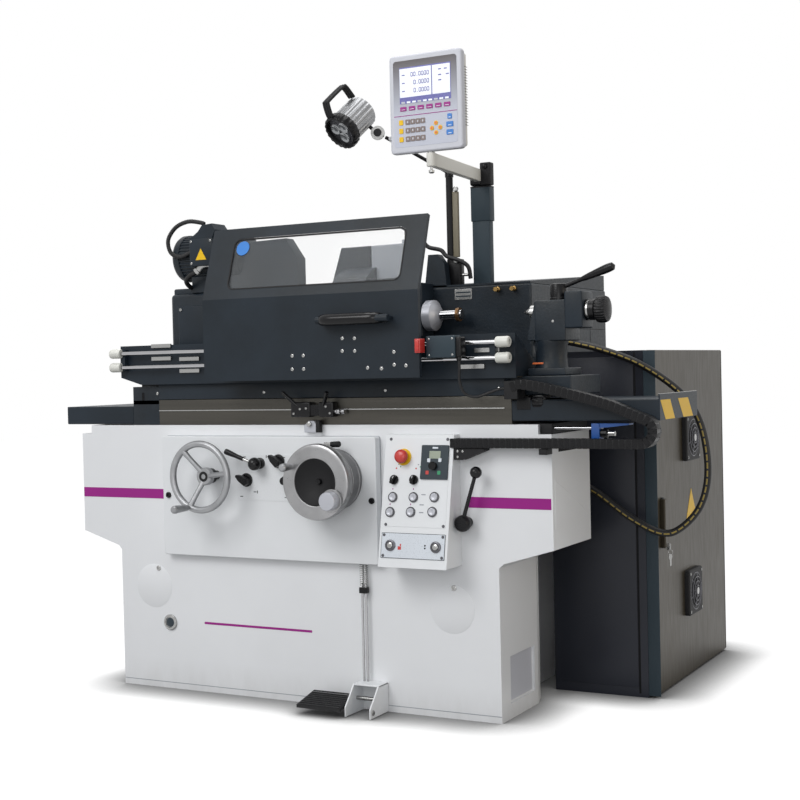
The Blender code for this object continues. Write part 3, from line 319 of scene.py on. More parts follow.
def noise(tree, coordinates, scale, stretch=(1, 1, 1), detail=4.0, rough=0.55):
    mapping = tree.nodes.new("ShaderNodeMapping")
    mapping.inputs["Scale"].default_value = stretch
    tree.links.new(coordinates, mapping.inputs["Vector"])
    texture = tree.nodes.new("ShaderNodeTexNoise")
    texture.inputs["Scale"].default_value = scale
    texture.inputs["Detail"].default_value = detail
    texture.inputs["Roughness"].default_value = rough
    tree.links.new(mapping.outputs["Vector"], texture.inputs["Vector"])
    return texture.outputs["Fac"]


def spread(tree, value, low, high, fromLow=0.3, fromHigh=0.7):
    span = tree.nodes.new("ShaderNodeMapRange")
    span.inputs["From Min"].default_value = fromLow
    span.inputs["From Max"].default_value = fromHigh
    span.inputs["To Min"].default_value = low
    span.inputs["To Max"].default_value = high
    tree.links.new(value, span.inputs["Value"])
    return span.outputs["Result"]


def blendColour(tree, factor, first, second):
    mix = tree.nodes.new("ShaderNodeMix")
    mix.data_type = "RGBA"
    tree.links.new(factor, mix.inputs[0])
    for socket, colour in ((mix.inputs[6], first), (mix.inputs[7], second)):
        if isinstance(colour, tuple):
            socket.default_value = (*colour, 1.0)
        else:
            tree.links.new(colour, socket)
    return mix.outputs[2]


def finish(name, colour, rough, metal=0.0, tone=0.08, toneScale=6.0, grain=300.0, depth=0.03,
        stretch=(1, 1, 1),
           roughSpread=0.06, coat=0.0, lowDarkening=None, second=None, alpha=1.0, glow=0.0, gloss=0.5,
           tint=(1, 1, 1)):
    # colour wanders by tone, the roughness and a fine bump come from noise, the colour darkens in blotches
    # towards the floor
    material = bpy.data.materials.new(name)
    material.use_nodes = True
    tree = material.node_tree
    shader = tree.nodes["Principled BSDF"]
    coordinates = tree.nodes.new("ShaderNodeTexCoord").outputs["Object"]
    dark = tuple(c * (1 - tone) for c in colour)
    light = tuple(min(1.0, c * (1 + tone)) for c in (second or colour))
    wander = spread(tree, noise(tree, coordinates, toneScale, stretch), 0, 1)
    paint = blendColour(tree, wander, dark, light)
    if lowDarkening:
        parts = tree.nodes.new("ShaderNodeSeparateXYZ")
        tree.links.new(coordinates, parts.inputs["Vector"])
        height = spread(tree, parts.outputs["Z"], lowDarkening["strength"], 0.0, 0.0, lowDarkening["height"])
        spots = spread(tree, noise(tree, coordinates, 30.0, (1, 1, 0.3)), 0.3, 1.0)
        together = tree.nodes.new("ShaderNodeMath")
        together.operation = "MULTIPLY"
        tree.links.new(height, together.inputs[0])
        tree.links.new(spots, together.inputs[1])
        paint = blendColour(tree, together.outputs[0], paint, lowDarkening["colour"])
    tree.links.new(paint, shader.inputs["Base Color"])
    fine = noise(tree, coordinates, grain, stretch, 3.0)
    tree.links.new(spread(tree, fine, rough - roughSpread, rough + roughSpread), shader.inputs["Roughness"])
    bump = tree.nodes.new("ShaderNodeBump")
    bump.inputs["Strength"].default_value = depth * 10
    bump.inputs["Distance"].default_value = 0.0004
    tree.links.new(fine, bump.inputs["Height"])
    tree.links.new(bump.outputs["Normal"], shader.inputs["Normal"])
    shader.inputs["Metallic"].default_value = metal
    shader.inputs["Coat Weight"].default_value = coat
    shader.inputs["Coat Roughness"].default_value = 0.15
    shader.inputs["Alpha"].default_value = alpha
    shader.inputs["Specular IOR Level"].default_value = gloss
    shader.inputs["Specular Tint"].default_value = (*tint, 1.0)
    if glow:
        shader.inputs["Emission Color"].default_value = (*colour, 1.0)
        shader.inputs["Emission Strength"].default_value = glow
    return material


# painted reflection: a warm tint for the sheen of the slate paints, as if they reflected warm light from the
# right
warmSheenTint = (1.0, 0.93, 0.80)
# the white paint turns darker in blotches over its lowest 0.10 m, towards the floor
whitePaint = finish("whitePaint", (0.79, 0.80, 0.815), 0.38, tone=0.025, toneScale=3, grain=260, depth=0.02,
    coat=0.15,
                    lowDarkening={"height": 0.10, "strength": 0.30, "colour": (0.45, 0.44, 0.42)})
panelPaint = finish("panelPaint", (0.77, 0.785, 0.80), 0.35, tone=0.02, grain=500, depth=0.015, coat=0.1)
labelWhite = finish("labelWhite", (0.76, 0.775, 0.79), 0.3, tone=0.02, grain=500, depth=0.01)
slatePaint = finish("slatePaint", (0.014, 0.021, 0.030), 0.42, tone=0.25, toneScale=5, grain=240, depth=0.06,
    gloss=0.20, tint=warmSheenTint)
castSlate = finish("castSlate", (0.013, 0.020, 0.029), 0.42, tone=0.3, toneScale=9, grain=130, depth=0.14,
    gloss=0.24, tint=warmSheenTint)
cabinetPaint = finish("cabinetPaint", (0.018, 0.020, 0.028), 0.33, tone=0.15, toneScale=2, grain=420,
    depth=0.05, gloss=0.25)
# slate as faces turned to the right look: the warm light and reflection they catch are painted into a brown
# colour
warmLitSlate = finish("warmLitSlate", (0.036, 0.030, 0.020), 0.40, tone=0.2, toneScale=2, grain=180, depth=0.05,
    gloss=0.30, tint=warmSheenTint,
                   stretch=(1, 1, 0.06))
greyCover = finish("greyCover", (0.30, 0.32, 0.35), 0.42, tone=0.06, grain=300, depth=0.05)
blackPlastic = finish("blackPlastic", (0.006, 0.006, 0.007), 0.30, tone=0.2, grain=300, depth=0.05,
    gloss=0.20)
glossBlack = finish("glossBlack", (0.004, 0.004, 0.005), 0.16, tone=0.2, grain=300, depth=0.01, gloss=0.25)
matBlack = finish("matBlack", (0.008, 0.008, 0.009), 0.6, tone=0.2, grain=500, depth=0.08, gloss=0.25)
blackRubber = finish("blackRubber", (0.009, 0.009, 0.010), 0.5, tone=0.15, grain=700, depth=0.1, gloss=0.3)
groundSteel = finish("groundSteel", (0.045, 0.043, 0.037), 0.36, 0.7, tone=0.25, toneScale=2.2, grain=160,
    depth=0.05,
                     stretch=(0.25, 8, 8), roughSpread=0.1, second=(0.060, 0.056, 0.048))
brightSteel = finish("brightSteel", (0.33, 0.33, 0.325), 0.25, 1.0, tone=0.09, toneScale=20, grain=300,
    depth=0.03,
                     stretch=(0.15, 4, 4))
chrome = finish("chrome", (0.38, 0.38, 0.39), 0.09, 1.0, tone=0.03, toneScale=30, grain=200, depth=0.004,
    roughSpread=0.04)
castAluminium = finish("castAluminium", (0.31, 0.315, 0.325), 0.38, 0.75, tone=0.08, toneScale=25, grain=420,
    depth=0.10)
brushedRing = finish("brushedRing", (0.29, 0.29, 0.295), 0.33, 0.85, tone=0.18, toneScale=9, grain=240,
    depth=0.06,
                     stretch=(1, 0.2, 1))
paleKnob = finish("paleKnob", (0.46, 0.47, 0.51), 0.35, 0.3, tone=0.04, grain=400, depth=0.03)
drumSteel = finish("drumSteel", (0.165, 0.165, 0.17), 0.36, 0.8, tone=0.2, toneScale=12, grain=300,
    depth=0.05, stretch=(1, 0.2, 1))
capWhite = finish("capWhite", (0.68, 0.68, 0.63), 0.45, tone=0.03, grain=300, depth=0.02)
columnPaint = finish("columnPaint", (0.036, 0.052, 0.064), 0.45, tone=0.06, grain=260, depth=0.04, gloss=0.15)
ringSteel = finish("ringSteel", (0.10, 0.10, 0.11), 0.3, 0.8, tone=0.1, grain=400, depth=0.02)
purplePaint = finish("purplePaint", (0.31, 0.012, 0.22), 0.35, tone=0.04, grain=400, depth=0.02, gloss=0.3)
yellowPaint = finish("yellowPaint", (0.84, 0.52, 0.02), 0.4, tone=0.06, grain=400, depth=0.03, gloss=0.2)
redPlastic = finish("redPlastic", (0.55, 0.030, 0.022), 0.3, tone=0.05, grain=400, depth=0.02, coat=0.2)
bluePaint = finish("bluePaint", (0.010, 0.075, 0.30), 0.38, tone=0.1, grain=300, depth=0.05)
signBlue = finish("signBlue", (0.01, 0.17, 0.55), 0.35, tone=0.03, grain=400, depth=0.01)
brass = finish("brass", (0.42, 0.27, 0.10), 0.28, 1.0, tone=0.1, toneScale=40, grain=300, depth=0.03)
copperGlow = finish("bronze", (0.16, 0.085, 0.035), 0.4, 0.7, tone=0.2, toneScale=40, grain=300, depth=0.06)
abrasive = finish("abrasive", (0.60, 0.58, 0.55), 0.85, tone=0.14, toneScale=400, grain=900, depth=0.5)
creamPaint = finish("creamPaint", (0.70, 0.69, 0.64), 0.45, tone=0.03, grain=300, depth=0.03)
olivePaint = finish("olivePaint", (0.20, 0.175, 0.12), 0.5, tone=0.1, grain=300, depth=0.05)
caseGrey = finish("caseGrey", (0.55, 0.56, 0.61), 0.42, tone=0.02, grain=700, depth=0.04)
lightPlate = finish("lightPlate", (0.64, 0.68, 0.73), 0.3, 0.1, tone=0.03, grain=400, depth=0.02)
screenWhite = finish("screenWhite", (0.80, 0.83, 0.90), 0.25, tone=0.01, grain=400, depth=0.0, glow=0.12)
screenViolet = finish("screenViolet", (0.08, 0.08, 0.34), 0.3, tone=0.03, grain=400, depth=0.0)
lcdGreen = finish("lcdGreen", (0.32, 0.36, 0.28), 0.3, tone=0.03, grain=400, depth=0.0)
keyBrown = finish("keyBrown", (0.19, 0.145, 0.135), 0.4, tone=0.1, grain=400, depth=0.02)
keyOrange = finish("keyOrange", (0.72, 0.15, 0.03), 0.35, tone=0.05, grain=400, depth=0.01)
keyGreen = finish("keyGreen", (0.02, 0.28, 0.12), 0.35, tone=0.05, grain=400, depth=0.01)
darkPanel = finish("darkPanel", (0.018, 0.030, 0.040), 0.35, tone=0.05, grain=400, depth=0.02, gloss=0.35)
# dark seams, slots and printed marks, and one strip of painted shade under the chain
darkMarksAndShade = finish("darkMarksAndShade", (0.005, 0.005, 0.006), 0.8, tone=0.2, grain=300, depth=0.02, gloss=0.2)
clearPane = finish("clearPane", (0.55, 0.57, 0.58), 0.05, tone=0.01, grain=60, depth=0.002, roughSpread=0.02,
    alpha=0.08, gloss=0.25)
lensGlass = finish("lensGlass", (0.26, 0.27, 0.28), 0.12, 0.5, tone=0.08, toneScale=60, grain=200, depth=0.02,
    coat=0.4)


def bezelMaterial():
    # dark brown-grey at the top of the readout's face, fading to pale grey at its lower edge
    material = finish("readoutBezel", (0.5, 0.5, 0.5), 0.4, tone=0.01, grain=500, depth=0.02)
    tree = material.node_tree
    coordinates = tree.nodes.new("ShaderNodeTexCoord").outputs["Object"]
    parts = tree.nodes.new("ShaderNodeSeparateXYZ")
    tree.links.new(coordinates, parts.inputs["Vector"])
    low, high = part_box("readout_display")
    fade = spread(tree, parts.outputs["Z"], 0, 1, low.z + 0.10, high.z - 0.02)
    paint = blendColour(tree, fade, (0.50, 0.52, 0.60), (0.050, 0.040, 0.045))
    tree.links.new(paint, tree.nodes["Principled BSDF"].inputs["Base Color"])
    return material


def hoseMaterial():
    # black rubber with a broken yellow line where the round-the-hose value is near its middle
    material = finish("hoseRubber", (0.008, 0.008, 0.009), 0.42, tone=0.15, grain=600, depth=0.06, gloss=0.3)
    tree = material.node_tree
    along, around = tree.nodes.new("ShaderNodeAttribute"), tree.nodes.new("ShaderNodeAttribute")
    along.attribute_name, around.attribute_name = "alongHose", "aroundHose"
    wave = tree.nodes.new("ShaderNodeMath")
    wave.operation, wave.inputs[1].default_value = "PINGPONG", 0.5
    scaled = tree.nodes.new("ShaderNodeMath")
    scaled.operation, scaled.inputs[1].default_value = "MULTIPLY", 42.0
    tree.links.new(along.outputs["Fac"], scaled.inputs[0])
    tree.links.new(scaled.outputs[0], wave.inputs[0])
    dash = spread(tree, wave.outputs[0], 0, 1, 0.12, 0.14)
    line = spread(tree, around.outputs["Fac"], 1, 0, 0.17, 0.24)
    both = tree.nodes.new("ShaderNodeMath")
    both.operation = "MULTIPLY"
    tree.links.new(dash, both.inputs[0])
    tree.links.new(line, both.inputs[1])
    paint = blendColour(tree, both.outputs[0], (0.008, 0.008, 0.009), (0.34, 0.25, 0.06))
    tree.links.new(paint, tree.nodes["Principled BSDF"].inputs["Base Color"])
    return material


readoutBezel = bezelMaterial()
hoseRubber = hoseMaterial()
print("finishes ready")


# camera

def makeCamera():
    view = {"place": (1.65484, -3.65186, 1.03075), "heading": 28.283, "down": 1.302, "roll": 1.329,
        "lens": 62.87}
    heading, down, roll = (math.radians(view[key]) for key in ("heading", "down", "roll"))
    ahead = Vector((-math.sin(heading), math.cos(heading), 0))
    level = Vector((math.cos(heading), math.sin(heading), 0))
    lift = Vector((ahead.x * math.sin(down), ahead.y * math.sin(down), math.cos(down)))
    forward = Vector((ahead.x * math.cos(down), ahead.y * math.cos(down), -math.sin(down)))
    right = level * math.cos(roll) - lift * math.sin(roll)
    up = lift * math.cos(roll) + level * math.sin(roll)
    data = bpy.data.cameras.new("camera")
    data.lens, data.sensor_width = view["lens"], 36
    camera = bpy.data.objects.new("camera", data)
    bpy.context.scene.collection.objects.link(camera)
    turn = Matrix((right, up, -forward)).transposed().to_4x4()
    camera.matrix_world = Matrix.Translation(Vector(view["place"]) + Vector(corner)) @ turn
    bpy.context.scene.camera = camera


makeCamera()


# coolant hose: a free loop from the wheelhead down to the pedestal

def makeHose():
    hose = {"radius": 0.011, "level": 0.41}
    route = [(-0.0297, 1.105), (-0.015, 1.105), (0.052, 1.103), (0.172, 1.074), (0.299, 1.024),
        (0.420, 0.938),
             (0.479, 0.843), (0.498, 0.710), (0.475, 0.605), (0.413, 0.534), (0.351, 0.518), (0.258, 0.560),
             (0.147, 0.637), (0.050, 0.680), (-0.03, 0.690), (-0.085, 0.690), (-0.0997, 0.690)]
    path = even(curve([(x, hose["level"], z) for x, z in route], 400), 220)
    steps = 24
    piece = makePiece("coolantHose", "machine",
        [(tube(path, hose["radius"] * 0.985, steps=steps), hoseRubber)],
                      ["coolant_hose"])
    length = float(np.linalg.norm(np.diff(path, axis=0), axis=1).sum())
    rows = len(path)
    alongHose = np.append(np.repeat(np.linspace(0, length, rows), steps), [0, length])
    ringAngle = np.arange(steps) * tau / steps
    fromMiddle = np.abs((ringAngle - 1.45 + np.pi) % tau - np.pi)
    aroundHose = np.append(np.tile(fromMiddle, rows), [3, 3])
    for name, values in (("alongHose", alongHose), ("aroundHose", aroundHose)):
        attribute = piece.data.attributes.new(name, "FLOAT", "POINT")
        attribute.data.foreach_set("value", values.astype(np.float32))
    ends = []
    for end, direction in ((path[0], (1, 0, 0)), (path[-1], (1, 0, 0))):
        fitting = [(0, 0.0002), (0.0150, 0.0002), (0.0150, 0.010), (0.0132, 0.012), (0.0132, 0.026),
            (0.0124, 0.030),
                   (0.0113, 0.030)]
        ends.append((lathe(fitting + [(0, 0.030)], end, direction, 36), brightSteel))
    collar = makePiece("hoseFittings", "machine", ends)
    return length


print("hose length", round(makeHose(), 3))


# bed, front panel and what is on the white castings

def dress(material, *names):
    for name in names:
        nodes[name].data.materials.clear()
        nodes[name].data.materials.append(material)


def screwHeads(places, normal=(0, -1, 0), radius=0.006, height=0.003):
    # socket screws: a short lathe shape with a dished socket
    profile = [(0, 0), (radius, 0), (radius, height * 0.75), (radius * 0.82, height), (radius * 0.45, height),
               (radius * 0.42, height * 0.45), (0, height * 0.4)]
    return repeat(lathe(profile, (0, 0, 0), normal, 20), places)


def makeBedDetails():
    bed = {"stripeLow": 0.622, "stripeHigh": 0.6537, "proud": 0.0006}
    dress(whitePaint, "bed_casting")
    low, high = bed["stripeLow"], bed["stripeHigh"]
    parts = []
    for outline in ([(-1.5325, low), (-1.191, low), (-1.191, high), (-1.5325, high)],
            [(-0.091, low), (0.1655, low), (0.1655, high), (-0.097, high)]):
        parts.append((plate(outline, bed["proud"], (0, -0.00005, 0), edge=0.0002), purplePaint))
    parts.append((slab(0.408, 0.0075, 0.0005, vec(-0.841, -0.00005, 0.2235), radius=0.001, edge=0.0002),
        purplePaint))
    for x, z in ((-1.244, 0.334), (-0.152, 0.322)):
        parts.append((lathe([(0, 0), (0.071, 0), (0.071, 0.0006), (0.0698, 0.0012), (0, 0.0012)], (x, 0.0, z),
            (0, -1, 0), 72), whitePaint))
    sight = [(0, 0), (0.0255, 0), (0.0255, 0.004), (0.0235, 0.006), (0.0180, 0.006), (0.0168, 0.0035),
        (0, 0.0035)]
    parts.append((lathe(sight, (-1.181, 0, 0.217), (0, -1, 0), 48), brightSteel))
    parts.append((lathe([(0, 0.003), (0.0165, 0.003), (0.014, 0.0042), (0, 0.0048)], (-1.181, 0, 0.217),
        (0, -1, 0), 32), darkPanel))
    parts.append((screwHeads([(-1.224, 0, 0.393), (-0.145, 0, 0.385)], radius=0.0085, height=0.004),
        brightSteel))
    # cover plate in the recess on the right, seam of the plinth
    parts.append((slab(0.170, 0.130, 0.0012, vec(-0.0082, 0.155, 0.115), (0, 1, 0), (0, 0, 1), 0.002, 0.0004),
        caseGrey))
    parts.append((brick((-1.3765, -0.0007, 0.0185), (-0.0005, 0.002, 0.0205), 0.0003), greyCover))
    # cast ribs, a dark strip of painted shade under the chain and a lip on the right end, dark way block on
    # the step
    parts.append((tube(curve([(0.1694, 0.020, 0.560), (0.1694, 0.020, 0.640), (0.1694, 0.022, 0.705)], 12),
        0.0016, (1, 0, 0), 8), whitePaint))
    parts.append((tube(curve([(0.1694, 0.022, 0.705), (0.1694, 0.150, 0.650), (0.1694, 0.280, 0.585)], 16),
        0.0016, (1, 0, 0), 8), whitePaint))
    # painted shade of the chain's lower run on the bed's right side
    parts.append((brick((0.1694, 0.050, 0.783), (0.1706, 0.200, 0.797), 0.0004), darkMarksAndShade))
    parts.append((brick((0.1690, 0.270, 0.795), (0.2120, 0.300, 0.801), 0.0015), whitePaint))
    parts.append((brick((0.1310, 0.0120, 0.8355), (0.1680, 0.290, 0.8655), 0.002), matBlack))
    makePiece("bedTrim", "machine", parts)

    panel = {"left": -1.175, "right": -0.381, "low": 0.445, "high": 0.828, "front": -0.0300}
    wide, tall = panel["right"] - panel["left"], panel["high"] - panel["low"]
    middle = vec((panel["left"] + panel["right"]) / 2, -0.0003, (panel["low"] + panel["high"]) / 2)
    makePiece("frontPanel", "machine",
              [(slab(wide, tall, -panel["front"] - 0.0003, middle, radius=0.006, edge=0.0025), panelPaint),
               (slab(wide + 0.0024, tall + 0.0024, 0.0025, middle, radius=0.007, edge=0.0005), greyCover)],
               ["front_panel"])
    front = panel["front"]
    trim = [(screwHeads([(-1.152, front, 0.638), (-0.397, front, 0.637)], radius=0.0095, height=0.006),
        blackPlastic),
            (slab(0.208, 0.145, 0.0010, vec(-0.779, front, 0.700), radius=0.004, edge=0.0004), labelWhite)]
    # marks on the plate: plain small bars near its corners and beside the knobs
    flat = [(-0.866, 0.764), (-0.852, 0.764), (-0.706, 0.764), (-0.866, 0.640), (-0.815, 0.655),
        (-0.700, 0.640)]
    upright = [(-0.858, 0.758), (-0.704, 0.752), (-0.770, 0.766), (-0.806, 0.655)]
    for places, w, h in ((flat, 0.011, 0.0024), (upright, 0.0024, 0.009)):
        mark = slab(w, h, 0.0004, vec(0, 0, 0), radius=0.0008, edge=0.0001)
        trim.append((repeat(mark, [(x, front - 0.0010, z) for x, z in places]), darkMarksAndShade))
    # fixed pointer knob half behind the infeed drum
    trim.append((lathe([(0, 0), (0.0150, 0), (0.0150, 0.006), (0.012, 0.0075), (0.012, 0.018), (0, 0.018)],
        (-0.700, front, 0.692), (0, -1, 0), 36),
                 blackPlastic))
    makePiece("panelTrim", "machine", trim)


makeBedDetails()


# console

consoleFace = {"bottomY": -0.105, "topY": -0.034, "bottomZ": 0.453, "topZ": 0.836, "left": -0.340,
    "right": -0.117}
consoleSlope = (consoleFace["topY"] - consoleFace["bottomY"]) / (consoleFace["topZ"] - consoleFace["bottomZ"])
consoleUp = unit((0, consoleSlope, 1))
consoleOut = np.cross((1, 0, 0), consoleUp)


def onConsole(x, z, lift=0.0):
    return vec(x, consoleFace["bottomY"] + (z - consoleFace["bottomZ"]) * consoleSlope, z) + consoleOut * lift


def consoleSlab(width, height, depth, x, z, lift=0.0, radius=0.001, edge=0.0003):
    return slab(width, height, depth, onConsole(x, z, lift), (1, 0, 0), consoleUp, radius, edge)


def makeConsole():
    console = {"drive": (-0.172, 0.757), "lock": (-0.229, 0.5155), "stop": (-0.276, 0.770)}
    low, high = consoleFace["bottomZ"], consoleFace["topZ"]
    side = [(-0.0003, low), (consoleFace["bottomY"], low), (consoleFace["topY"], high), (-0.0003, high)]
    makePiece("controlConsole", "machine",
              [(plate(side, consoleFace["right"] - consoleFace["left"], (consoleFace["left"], 0, 0),
              (0, 1, 0), (0, 0, 1), 0.0015), panelPaint)],
              ["control_console"])
    parts = [(consoleSlab(0.202, 0.262, 0.0010, -0.2285, 0.6985, radius=0.003), panelPaint),
             (consoleSlab(0.208, 0.074, 0.0012, *console["lock"], radius=0.002), darkPanel),
             (consoleSlab(0.205, 0.071, 0.0016, *console["lock"], radius=0.002), lightPlate)]
    corners = [(-0.322, 0.822), (-0.136, 0.822), (-0.322, 0.575), (-0.134, 0.575)]
    corners += [(-0.325, 0.545), (-0.133, 0.545), (-0.325, 0.486), (-0.133, 0.486)]
    head = lathe([(0, 0), (0.0046, 0), (0.0046, 0.0012), (0.0034, 0.0022), (0, 0.0022)], (0, 0, 0),
        consoleOut, 16)
    parts.append((repeat(head, [onConsole(x, z, 0.0010) for x, z in corners]), ringSteel))
    # drive unit: dark panel, small display, dial and coloured keys
    dx, dz = console["drive"]
    parts.append((consoleSlab(0.088, 0.100, 0.006, dx - 0.001, dz - 0.001, radius=0.003, edge=0.001),
        darkPanel))
    parts.append((consoleSlab(0.036, 0.022, 0.0007, dx, dz + 0.020, 0.006), lcdGreen))
    parts.append((consoleSlab(0.018, 0.005, 0.0006, dx, dz + 0.040, 0.006), lightPlate))
    parts.append((lathe([(0, 0), (0.0125, 0), (0.012, 0.010), (0.010, 0.012), (0, 0.012)],
        onConsole(dx - 0.003, dz - 0.012, 0.006),
                        consoleOut, 32), glossBlack))
    for ox, oz, material in ((-0.019, 0.004, lightPlate), (0.017, 0.005, lightPlate),
            (-0.022, -0.031, redPlastic), (0.016, -0.031, keyGreen)):
        parts.append((consoleSlab(0.010, 0.011, 0.0010, dx + ox, dz + oz, 0.006, 0.002), material))
    # lock plate: two round locks, a red padlock mark and two dots
    lock = [(0, 0), (0.0165, 0), (0.0165, 0.003), (0.0145, 0.0045), (0.0115, 0.0045), (0.0105, 0.0032),
        (0, 0.0032)]
    core = [(0, 0.003), (0.0085, 0.003), (0.0085, 0.0058), (0.0065, 0.0066), (0, 0.0066)]
    for x in (-0.302, -0.154):
        for profile, material in ((lock, ringSteel), (core, brightSteel)):
            parts.append((lathe(profile, onConsole(x, 0.5155, 0.0016), consoleOut, 40), material))
    parts.append((consoleSlab(0.011, 0.010, 0.0005, -0.272, 0.509, 0.0016), redPlastic))
    parts.append((consoleSlab(0.0045, 0.006, 0.0005, -0.269, 0.518, 0.0016), redPlastic))
    dot = lathe([(0, 0), (0.0026, 0), (0.0024, 0.0005), (0, 0.0005)], (0, 0, 0), consoleOut, 16)
    parts.append((repeat(dot, [onConsole(-0.189, z, 0.0016) for z in (0.511, 0.5185)]), darkMarksAndShade))
    # little legends: red and green squares over the selectors, short bars over the buttons
    for x in (-0.2955, -0.2305):
        for ox, z, w, h, material in ((-0.003, 0.7375, 0.0042, 0.0045, redPlastic),
                (0.011, 0.7425, 0.0036, 0.0045, keyGreen),
                                      (0.004, 0.749, 0.0045, 0.0030, greyCover)):
            parts.append((consoleSlab(w, h, 0.0004, x + ox, z, 0.0010), material))
    marks = [(-0.306, 0.6775, 0.0028, 0.0045, purplePaint), (-0.238, 0.6785, 0.0028, 0.0045, purplePaint),
             (-0.312, 0.6335, 0.0028, 0.0045, purplePaint), (-0.244, 0.6345, 0.0028, 0.0045, purplePaint),
             (-0.204, 0.663, 0.014, 0.003, greyCover), (-0.208, 0.634, 0.014, 0.003, greyCover),
             (-0.208, 0.612, 0.014, 0.003, greyCover)]
    parts += [(consoleSlab(w, h, 0.0004, x, z, 0.0010), material) for x, z, w, h, material in marks]
    # emergency stop base and button rings stay on the console
    parts.append((lathe([(0.0135, 0), (0.0245, 0), (0.0245, 0.0035), (0.023, 0.0048), (0.0135, 0.0048)],
                        onConsole(*console["stop"], 0.0010), consoleOut, 56, looped=True), yellowPaint))
    ring = [(0.01195, 0.0), (0.0150, 0.0), (0.0150, 0.0030), (0.0138, 0.0044), (0.0124, 0.0044),
        (0.01195, 0.0036)]
    ringShape = lathe(ring, (0, 0, 0), consoleOut, 40, looped=True)
    places = [onConsole(*buttonPlace(*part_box(name)), 0.0010) for name in buttonNames]
    parts.append((repeat(ringShape, places), ringSteel))
    makePiece("consoleTrim", "machine", parts)


buttonNames = ["start_button", "coolant_button", "reset_button", "wheel_button", "work_button", "stop_button"]


def buttonPlace(low, high):
    # the middle of a button, brought onto the console's face along its axis
    middle = np.array((low + high) / 2) - corner
    lift = (middle - onConsole(middle[0], middle[2])) @ consoleOut
    middle = middle - consoleOut * lift
    return middle[0], middle[2]


def makeConsoleControls():
    for name in buttonNames:
        x, z = buttonPlace(*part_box(name))
        cap = [(0, 0.0053), (0.0112, 0.0053), (0.0112, 0.0066), (0.0104, 0.0076), (0.0078, 0.0079),
            (0.0055, 0.0071), (0, 0.0067)]
        parts = [(lathe(cap, onConsole(x, z), consoleOut, 40), paleKnob)]
        makePiece(name.replace("_b", "B"), name, parts, [name])
    for name, piece in (("left_selector", "leftSelector"), ("right_selector", "rightSelector")):
        low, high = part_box(name)
        x = (low.x + high.x) / 2 - corner[0]
        z = 0.704 if name == "left_selector" else 0.705
        base = [(0, 0.0034), (0.0142, 0.0034), (0.0142, 0.0050), (0.0125, 0.0065), (0, 0.0070)]
        tilt = math.radians(-28 if name == "left_selector" else -12)
        right = math.cos(tilt) * vec(1, 0, 0) + math.sin(tilt) * consoleUp
        up = math.cos(tilt) * consoleUp - math.sin(tilt) * vec(1, 0, 0)
        parts = [(lathe(base, onConsole(x, z), consoleOut, 40), blackPlastic),
                 (slab(0.0085, 0.0265, 0.0125, onConsole(x, z, 0.006), right, up, 0.0035, 0.0022),
                 blackPlastic),
                 (slab(0.0016, 0.008, 0.0004, onConsole(x, z, 0.0185) + up * 0.007, right, up, 0.0006,
                 0.0001), whitePaint)]
        makePiece(piece, name, parts, [name])
    stop = [(0, -0.001), (0.0118, -0.001), (0.0118, 0.0115), (0.0188, 0.0130), (0.0205, 0.0160),
        (0.0205, 0.0210),
            (0.0192, 0.0255), (0.0160, 0.0290), (0.0110, 0.0312), (0.0050, 0.0319), (0, 0.0320)]
    makePiece("emergencyStop", "emergency_stop",
              [(lathe(stop, onConsole(-0.276, 0.770), consoleOut, 56), redPlastic)], ["emergency_stop"])


makeConsole()
makeConsoleControls()
print("console done")


# handwheels and levers on the front panel

def makeTableHandwheel():
    wheel = {"x": -0.96, "y": -0.12, "z": 0.706, "radius": 0.1035, "rim": 0.0105, "setBack": 0.029,
        "spokes": (7, 127, 247)}
    centre = vec(wheel["x"], wheel["y"], wheel["z"])
    parts = [(torus(centre, (0, 1, 0), wheel["radius"], wheel["rim"], 96, 20), castAluminium)]
    for degrees in wheel["spokes"]:
        angle = math.radians(degrees)
        t = np.linspace(0, 1, 20)[:, None]
        path = centre + vec(math.cos(angle), 0, math.sin(angle)) * (0.012 + t * 0.088) + vec(0,
            wheel["setBack"], 0) * (1 - t) ** 1.2
        radius = 0.0070 + 0.0030 * (1 - t[:, 0]) ** 2 + 0.0032 * t[:, 0] ** 3
        parts.append((tube(path, radius, (0, 1, 0), 16), castAluminium))
    hub = [(0, 0.018), (0.0250, 0.018), (0.0280, 0.021), (0.0280, 0.038), (0.0220, 0.043), (0, 0.043)]
    collar = [(0, 0.042), (0.0240, 0.042), (0.0240, 0.060), (0.0145, 0.062), (0.0145, 0.0895), (0, 0.0895)]
    bore = [(0.0080, 0.0172), (0.0160, 0.0172), (0.0160, 0.0190), (0.0080, 0.0190)]
    parts += [(lathe(hub, centre, (0, 1, 0), 48), castAluminium),
        (lathe(collar, centre, (0, 1, 0), 40), blackPlastic),
              (lathe(bore, centre, (0, 1, 0), 40, looped=True), matBlack)]
    turn = math.radians(wheel["spokes"][2])
    foot = centre + vec(math.cos(turn), 0, math.sin(turn)) * wheel["radius"]
    grip = [(0, 0.002), (0.0070, 0.002), (0.0070, 0.013), (0.0095, 0.0150), (0.0102, 0.030), (0.0114, 0.055),
        (0.0125, 0.078),
            (0.0118, 0.0845), (0.0085, 0.0888), (0, 0.0902)]
    parts.append((lathe(grip, foot, (0, -1, 0), 36), castAluminium))
    makePiece("tableHandwheel", "table_handwheel", parts, ["table_handwheel"])


